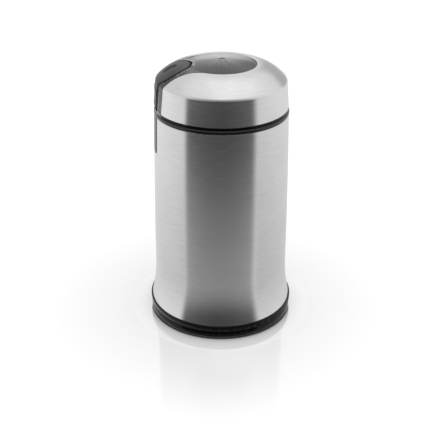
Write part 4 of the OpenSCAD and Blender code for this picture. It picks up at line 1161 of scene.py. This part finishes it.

# %% [markdown]
# ## The button
# The button is a thick plate that lies over the lid's curve: flat on top, over the shoulder and
# down the front. Its sheet of points runs from tip to foot and from side to side, closer together
# towards every edge, where the surface drops by a quarter circle. A shallow oval tells the finger
# where to press. Underneath it is wider, so that its sides slope out into the gap: this dark
# plastic fills the gap and stands in for the shade there.

# %% The button's plate
PROUD, PROUD_TOP, BUTTON_EDGE, BUTTON_LOW, SKIRT_OUT = 0.5, 0.2, 0.4, 146.4, 0.7
FLAT_R, BUTTON_ROWS, BUTTON_COLUMNS, BUTTON_SMOOTH = CREASE_R - 6, 151, 97, 40
MARK_FROM, MARK_TO, MARK_R, MARK_DEEP, MARK_SLOPE = 31.0, 33.0, 4.0, 0.8, 1.6


def button_plate():
    """Radius and height follow the lid's line, and the angle runs from side to side of the plan.
    The top's depth is the drop of its rounded edge and of the mark, less how proud it stands."""
    end, across = far_at_height(BUTTON_LOW), crowded(BUTTON_COLUMNS)
    share = eased(BUTTON_ROWS)[:, None]

    def rows(tip):
        """Distances along the lid's line from the tip to the button's foot."""
        start = far_at_radius(tip)
        return start + (end - start) * share

    far = rows(TIP_Y)
    # How steep it is: 1 down the wall, where it stands proud, and 0 over the shoulder
    steep = np.interp(far, [CREASE_FROM, far_at_radius(FLAT_R)], [1, 0])
    proud = PROUD_TOP + (PROUD - PROUD_TOP) * steep
    r = lid_radius(far, -proud)
    edge = button_angle(np.maximum(r, TIP_Y)) * (share > 0)
    x, y = r * np.sin(edge * across), -r * np.cos(edge * across)
    # Distance inside the edge: in plan over the shoulder, and round the axis down the wall
    plan, side = HEAD_R - np.hypot(x, y + HEAD_Y), r * edge * (1 - np.abs(across))
    inside = least(plan + (side - plan) * steep, far - end)
    # The mark: how far inside an oval, eased by 3 t² - 2 t³
    mark = (MARK_R - np.hypot(x, y - np.clip(y, -MARK_TO, -MARK_FROM))) / MARK_SLOPE
    fall = np.clip(mark, 0, 1)
    fall = fall**2 * (3 - 2 * fall) * MARK_DEEP
    depth = -proud + rounded(np.maximum(inside, 0), BUTTON_EDGE) + fall
    top = ring_points(lid_radius(far, depth), edge * across, lid_height(far, depth))
    # The wider underside's dark plastic fills the gap round the button and stands in for its shade
    far = rows(TIP_Y - SKIRT_OUT)
    r = lid_radius(far, BUTTON_UNDER)
    edge = button_angle(np.maximum(r, TIP_Y - SKIRT_OUT), SKIRT_OUT) * (share > 0)
    under = ring_points(r, edge * across, lid_height(far, BUTTON_UNDER))
    return object_of("grey_button", *wall(top, under), smooth_below=BUTTON_SMOOTH)


# %% [markdown]
# Behind the plate hang the presser that meets the push rod, the web that carries it, and a collar
# and a stud for the spring: plain solids, joined on.

# %% The button
WEB_IN, WEB_OUT, COLLAR_SPARE = 0.4, 0.2, 0.4
STUD_R, STUD_OVER, COLLAR_UNDER, STUD_UNDER = 1.2, 2.0, 3.4, 3.5


def button():
    """The plate, with the solids behind it joined on."""
    add = [curved_bar("presser", PRESSER_R, PRESSER_R + PRESSER_T, PRESSER_LOW, PRESSER_TOP,
                      -PRESSER_HALF, PRESSER_HALF),
           curved_bar("web", PRESSER_R + WEB_IN, LID_FOOT_R - WEB_OUT, BUTTON_LOW, PRESSER_TOP,
                      -BUTTON_HALF, BUTTON_HALF),
           stub("spring_collar", CUP_R - COLLAR_SPARE, SPRING_TOP, WINDOW_Z - COLLAR_UNDER,
                -SPRING_Y),
           stub("stud", STUD_R, CUP_FLOOR + STUD_OVER, WINDOW_Z - STUD_UNDER, -SPRING_Y)]
    return combine(button_plate(), add, "UNION", smooth_below=BUTTON_SMOOTH)


place(button(), "lid_button", "button_plastic", "lid_button")

# %% [markdown]
# ## The button's spring
# A coil spring is a wire that runs round and up at once, so it is a tube along a helix. Its first
# and last turns lie close, because they carry the button and stand in the cup. It fills the room
# between cup and button, so the joint squashes it by the button's travel.

# %% The button's spring
COIL_R, WIRE_R, COIL_TURNS, COIL_CLOSE, COIL_SPARE = 2.0, 0.25, 5, 0.55, 0.02
WIRE_STEPS, WIRE_SIDES, TRAVEL = 240, 12, 1.6


def button_spring():
    """At turn t and angle b round the wire, the radius is the coil's and the wire's times the
    cosine of b, and the height is the rise and the wire's radius times the sine of b. The rise is
    slow in the first and the last turn, and even between them."""
    turn = np.linspace(0, COIL_TURNS, WIRE_STEPS)
    b = np.linspace(0, 2 * np.pi, WIRE_SIDES, endpoint=False)[:, None]
    low = CUP_FLOOR + WIRE_R + COIL_SPARE
    high = SPRING_TOP - WIRE_R - COIL_SPARE
    rise = np.interp(turn, [0, 1, COIL_TURNS - 1, COIL_TURNS],
                     [low, low + COIL_CLOSE, high - COIL_CLOSE, high])
    r, a = COIL_R + WIRE_R * np.cos(b), 2 * np.pi * turn
    points = np.stack([r * np.cos(a), r * np.sin(a) - SPRING_Y, rise + WIRE_R * np.sin(b)], -1)
    return object_of("return_spring", points.reshape(-1, 3), capped(WIRE_SIDES, WIRE_STEPS))


spring = place(button_spring(), "lid", "spring_steel", "button_spring")
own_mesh(spring)

# %% [markdown]
# ## The room
# A steel pot shows its room more than itself. The room is white, brightest overhead, and a little
# dimmer below, to the right and far behind, which models the pot's two flanks. One dull patch,
# behind and to the right, draws the shade on the lid's shoulder. A wide dark curtain stands round
# the camera's side and gives the pot its dark middle. Room and curtain are only seen in
# reflections: the camera itself looks at plain white.

# %% The room
# Each row: a way, how far a direction points that way at both ends, and the light at both ends
LOW_ROOM = [("right", -0.4, 0.4, 1.0, 0.90), ("back", -0.4, 0.4, 0.93, 1.03),
            ("back", 0.6, 1.0, 1.0, 0.88), ("up", -0.62, -0.2, 0.74, 1.08)]
HIGH_ROOM = [("up", 0.6, 1.0, 0.98, 1.25), ("right", -0.30, -0.05, 0.88, 1.0)]
DULL_PATCH = [("right", 0.0, 0.20, 0.0, 1.0), ("back", 0.4, 0.8, 0.0, 1.0),
              ("up", -0.25, 0.15, 0.0, 1.0), ("up", 0.25, 0.65, 1.0, 0.0)]
HORIZON, PATCH_LIGHT = 0.12, 0.56


def room():
    """Light by direction: a product of smooth steps over how far it points up, back and right,
    one for the low half and one for the high half, less the dull patch."""
    world = bpy.data.worlds.new("white_room")
    world.use_nodes = True
    tree = world.node_tree
    ray = node(tree, "ShaderNodeTexCoord").outputs["Generated"]
    azimuth = math.radians(CAMERA_AZIMUTH)
    axes = {"right": (math.cos(azimuth), math.sin(azimuth), 0),
            "back": (-math.sin(azimuth), math.cos(azimuth), 0), "up": (0, 0, 1)}
    ways = {name: node(tree, "ShaderNodeVectorMath", {0: ray, 1: axis},
                       operation="DOT_PRODUCT").outputs["Value"] for name, axis in axes.items()}
    low, high, patch = (product(tree, *(soft_step(tree, ways[way], *steps) for way, *steps in rows))
                        for rows in (LOW_ROOM, HIGH_ROOM, DULL_PATCH))
    share = soft_step(tree, ways["up"], -HORIZON, HORIZON)
    light = node(tree, "ShaderNodeMapRange", {0: share, 3: low, 4: high}).outputs[0]
    light = product(tree, light, soft_step(tree, patch, 0.0, 1.0, 1.0, PATCH_LIGHT))
    seen = node(tree, "ShaderNodeLightPath").outputs["Is Camera Ray"]
    light = node(tree, "ShaderNodeMapRange", {0: seen, 3: light, 4: 1.0}).outputs[0]
    background = tree.nodes["Background"]
    background.inputs["Color"].default_value = (1, 1, 1, 1)
    give(tree, background.inputs, {"Strength": light})
    bpy.context.scene.world = world
    bpy.context.scene.view_settings.view_transform = "Standard"


room()
print("the room's light follows", len(LOW_ROOM + HIGH_ROOM + DULL_PATCH), "steps")

# %% [markdown]
# The curtain is a sheet on part of a cylinder round the grinder, and gives off a little light. It
# is darkest in the middle and grows lighter to both sides by the square of the distance, least so
# low down. Its light also changes with height, because the pot's wall mirrors a lower stretch the
# lower one looks. Its UV map counts from -1 to 1 across, and in metres upwards.

# %% The curtain
CURTAIN_R, CURTAIN_HALF, CURTAIN_LOW, CURTAIN_HIGH = 1200.0, 64.0, -1500.0, 950.0
CURTAIN_ROWS, CURTAIN_COLUMNS = 41, 61
LOW_LIGHT, HIGH_LIGHT = (-0.68, -0.235, 0.40, 0.025), (-0.07, 0.22, 0.0, 0.27)
PALER_SIDES = (-0.65, -0.25, 0.25, 2.2)
LEFT_EDGE, RIGHT_EDGE, BESIDE = (-1.0, -0.90, 1.0, 0.0), (0.80, 1.0), 0.9


def curtain_light(tree):
    """Light that falls with height to a dark band and rises again above it, times one plus the
    square of the distance from the middle, and at both side edges the light of the room there."""
    sheet = node(tree, "ShaderNodeUVMap", uv_map="sheet").outputs[0]
    u, v, _ = node(tree, "ShaderNodeSeparateXYZ", {0: sheet}).outputs
    shade = math_node(tree, "ADD", soft_step(tree, v, *LOW_LIGHT), soft_step(tree, v, *HIGH_LIGHT))
    paler = product(tree, u, u, soft_step(tree, v, *PALER_SIDES))
    shade = product(tree, shade, math_node(tree, "ADD", paler, 1.0))
    shade = math_node(tree, "MINIMUM", shade, BESIDE)
    edge = math_node(tree, "MAXIMUM", soft_step(tree, u, *LEFT_EDGE),
                     soft_step(tree, u, *RIGHT_EDGE))
    return node(tree, "ShaderNodeMapRange", {0: edge, 3: shade, 4: BESIDE}).outputs[0]


def curtain():
    """Points on a cylinder, by angle and height, with a material that only gives off light."""
    turn = np.linspace(-1, 1, CURTAIN_COLUMNS)
    z = np.linspace(CURTAIN_LOW, CURTAIN_HIGH, CURTAIN_ROWS)[:, None]
    angle = np.radians(CAMERA_AZIMUTH + CURTAIN_HALF * turn)
    points = ring_points(CURTAIN_R, angle, z).reshape(-1, 3)
    sheet_uv = np.stack(np.broadcast_arrays(turn, z * MM), -1).reshape(-1, 2)
    faces = cells(CURTAIN_ROWS, CURTAIN_COLUMNS)
    mesh = bpy.data.meshes.new("dark_curtain")
    mesh.from_pydata(points * MM, [], faces.tolist())
    mesh.uv_layers.new(name="sheet").data.foreach_set("uv", sheet_uv[faces.ravel()].ravel())
    made = bpy.data.objects.new("dark_curtain", mesh)
    bpy.context.scene.collection.objects.link(made)
    paint, tree = new_paint("dark_curtain")
    tree.nodes.remove(tree.nodes["Principled BSDF"])
    glow = node(tree, "ShaderNodeEmission", {"Strength": curtain_light(tree)})
    give(tree, tree.nodes["Material Output"].inputs, {"Surface": glow.outputs[0]})
    made.data.materials.append(paint)
    for ray in ("camera", "diffuse", "transmission", "volume_scatter", "shadow"):
        setattr(made, "visible_" + ray, False)


curtain()
print("the curtain spans", 2 * CURTAIN_HALF, "degrees")

# %% [markdown]
# The floor is white and slightly polished near the grinder, so it mirrors the foot softly and the
# image fades outwards. Right at the foot's edge it is nearly all mirror, so the black ring's image
# darkens it there as a painted contact shade. It glows a little, so that it stays white outside the
# mirror image.

# %% The floor
FLOOR_RADII, FLOOR_COLUMNS = np.array([0, 30, 60, 100, 160, 400, 3000.0]), 97
FLOOR_WHITE, FLOOR_GLOW, MIRROR_ROUGHNESS = 0.9, 0.20, 0.06
# The contact share paints contact shade: the floor mirrors the black ring almost fully at the foot's
# edge
FOOT_EDGE, CONTACT_REACH, CONTACT_SHADE_SHARE, RING_SHARE = 48.3 * MM, 0.63 * MM, 0.735, 0.235
RING_IMAGE_END, IMAGE_SHARE = (60.3 * MM, 62 * MM), (45 * MM, 170 * MM, 0.40, 0.0)


def mirror_share(tree):
    """Nearly all mirror under the foot, less by one over the distance from its edge, and past the
    image of the base ring a share that fades out smoothly. The near-total mirror at the foot's edge
    reflects the black ring and so paints a contact shade."""
    where = node(tree, "ShaderNodeTexCoord").outputs["Object"]
    far = node(tree, "ShaderNodeVectorMath", {0: where}, operation="LENGTH").outputs["Value"]
    past = math_node(tree, "MAXIMUM", math_node(tree, "SUBTRACT", far, FOOT_EDGE), 0.0)
    # Painted contact shade: the mirror share climbs to nearly one at the foot's edge, by one over the
    # distance
    contact_shade = math_node(tree, "DIVIDE", CONTACT_REACH, math_node(tree, "ADD", past, CONTACT_REACH))
    near = math_node(tree, "ADD", product(tree, contact_shade, CONTACT_SHADE_SHARE), RING_SHARE)
    return node(tree, "ShaderNodeMapRange", {0: soft_step(tree, far, *RING_IMAGE_END), 3: near,
                                             4: soft_step(tree, far, *IMAGE_SHARE)}).outputs[0]


def floor():
    """A wide white disc of rings, partly a mirror."""
    turn = np.linspace(0, 2 * np.pi, FLOOR_COLUMNS)
    points = ring_points(FLOOR_RADII[:, None], turn, 0.0).reshape(-1, 3)
    made = object_of("floor", points, cells(len(FLOOR_RADII), FLOOR_COLUMNS)[:, ::-1])
    paint, tree = new_paint("floor")
    white = tree.nodes["Principled BSDF"]
    for name, value in {"Base Color": (FLOOR_WHITE, FLOOR_WHITE, FLOOR_WHITE, 1),
                        "Roughness": 1.0, "Specular IOR Level": 0.0,
                        "Emission Color": (1, 1, 1, 1), "Emission Strength": FLOOR_GLOW}.items():
        white.inputs[name].default_value = value
    mirror = node(tree, "ShaderNodeBsdfGlossy", {"Roughness": MIRROR_ROUGHNESS})
    both = node(tree, "ShaderNodeMixShader", {0: mirror_share(tree), 1: white.outputs[0],
                                              2: mirror.outputs[0]})
    give(tree, tree.nodes["Material Output"].inputs, {"Surface": both.outputs[0]})
    made.data.materials.append(paint)
    made.visible_glossy = False


floor()
print("the floor mirrors out to", round(IMAGE_SHARE[1] / MM), "mm")
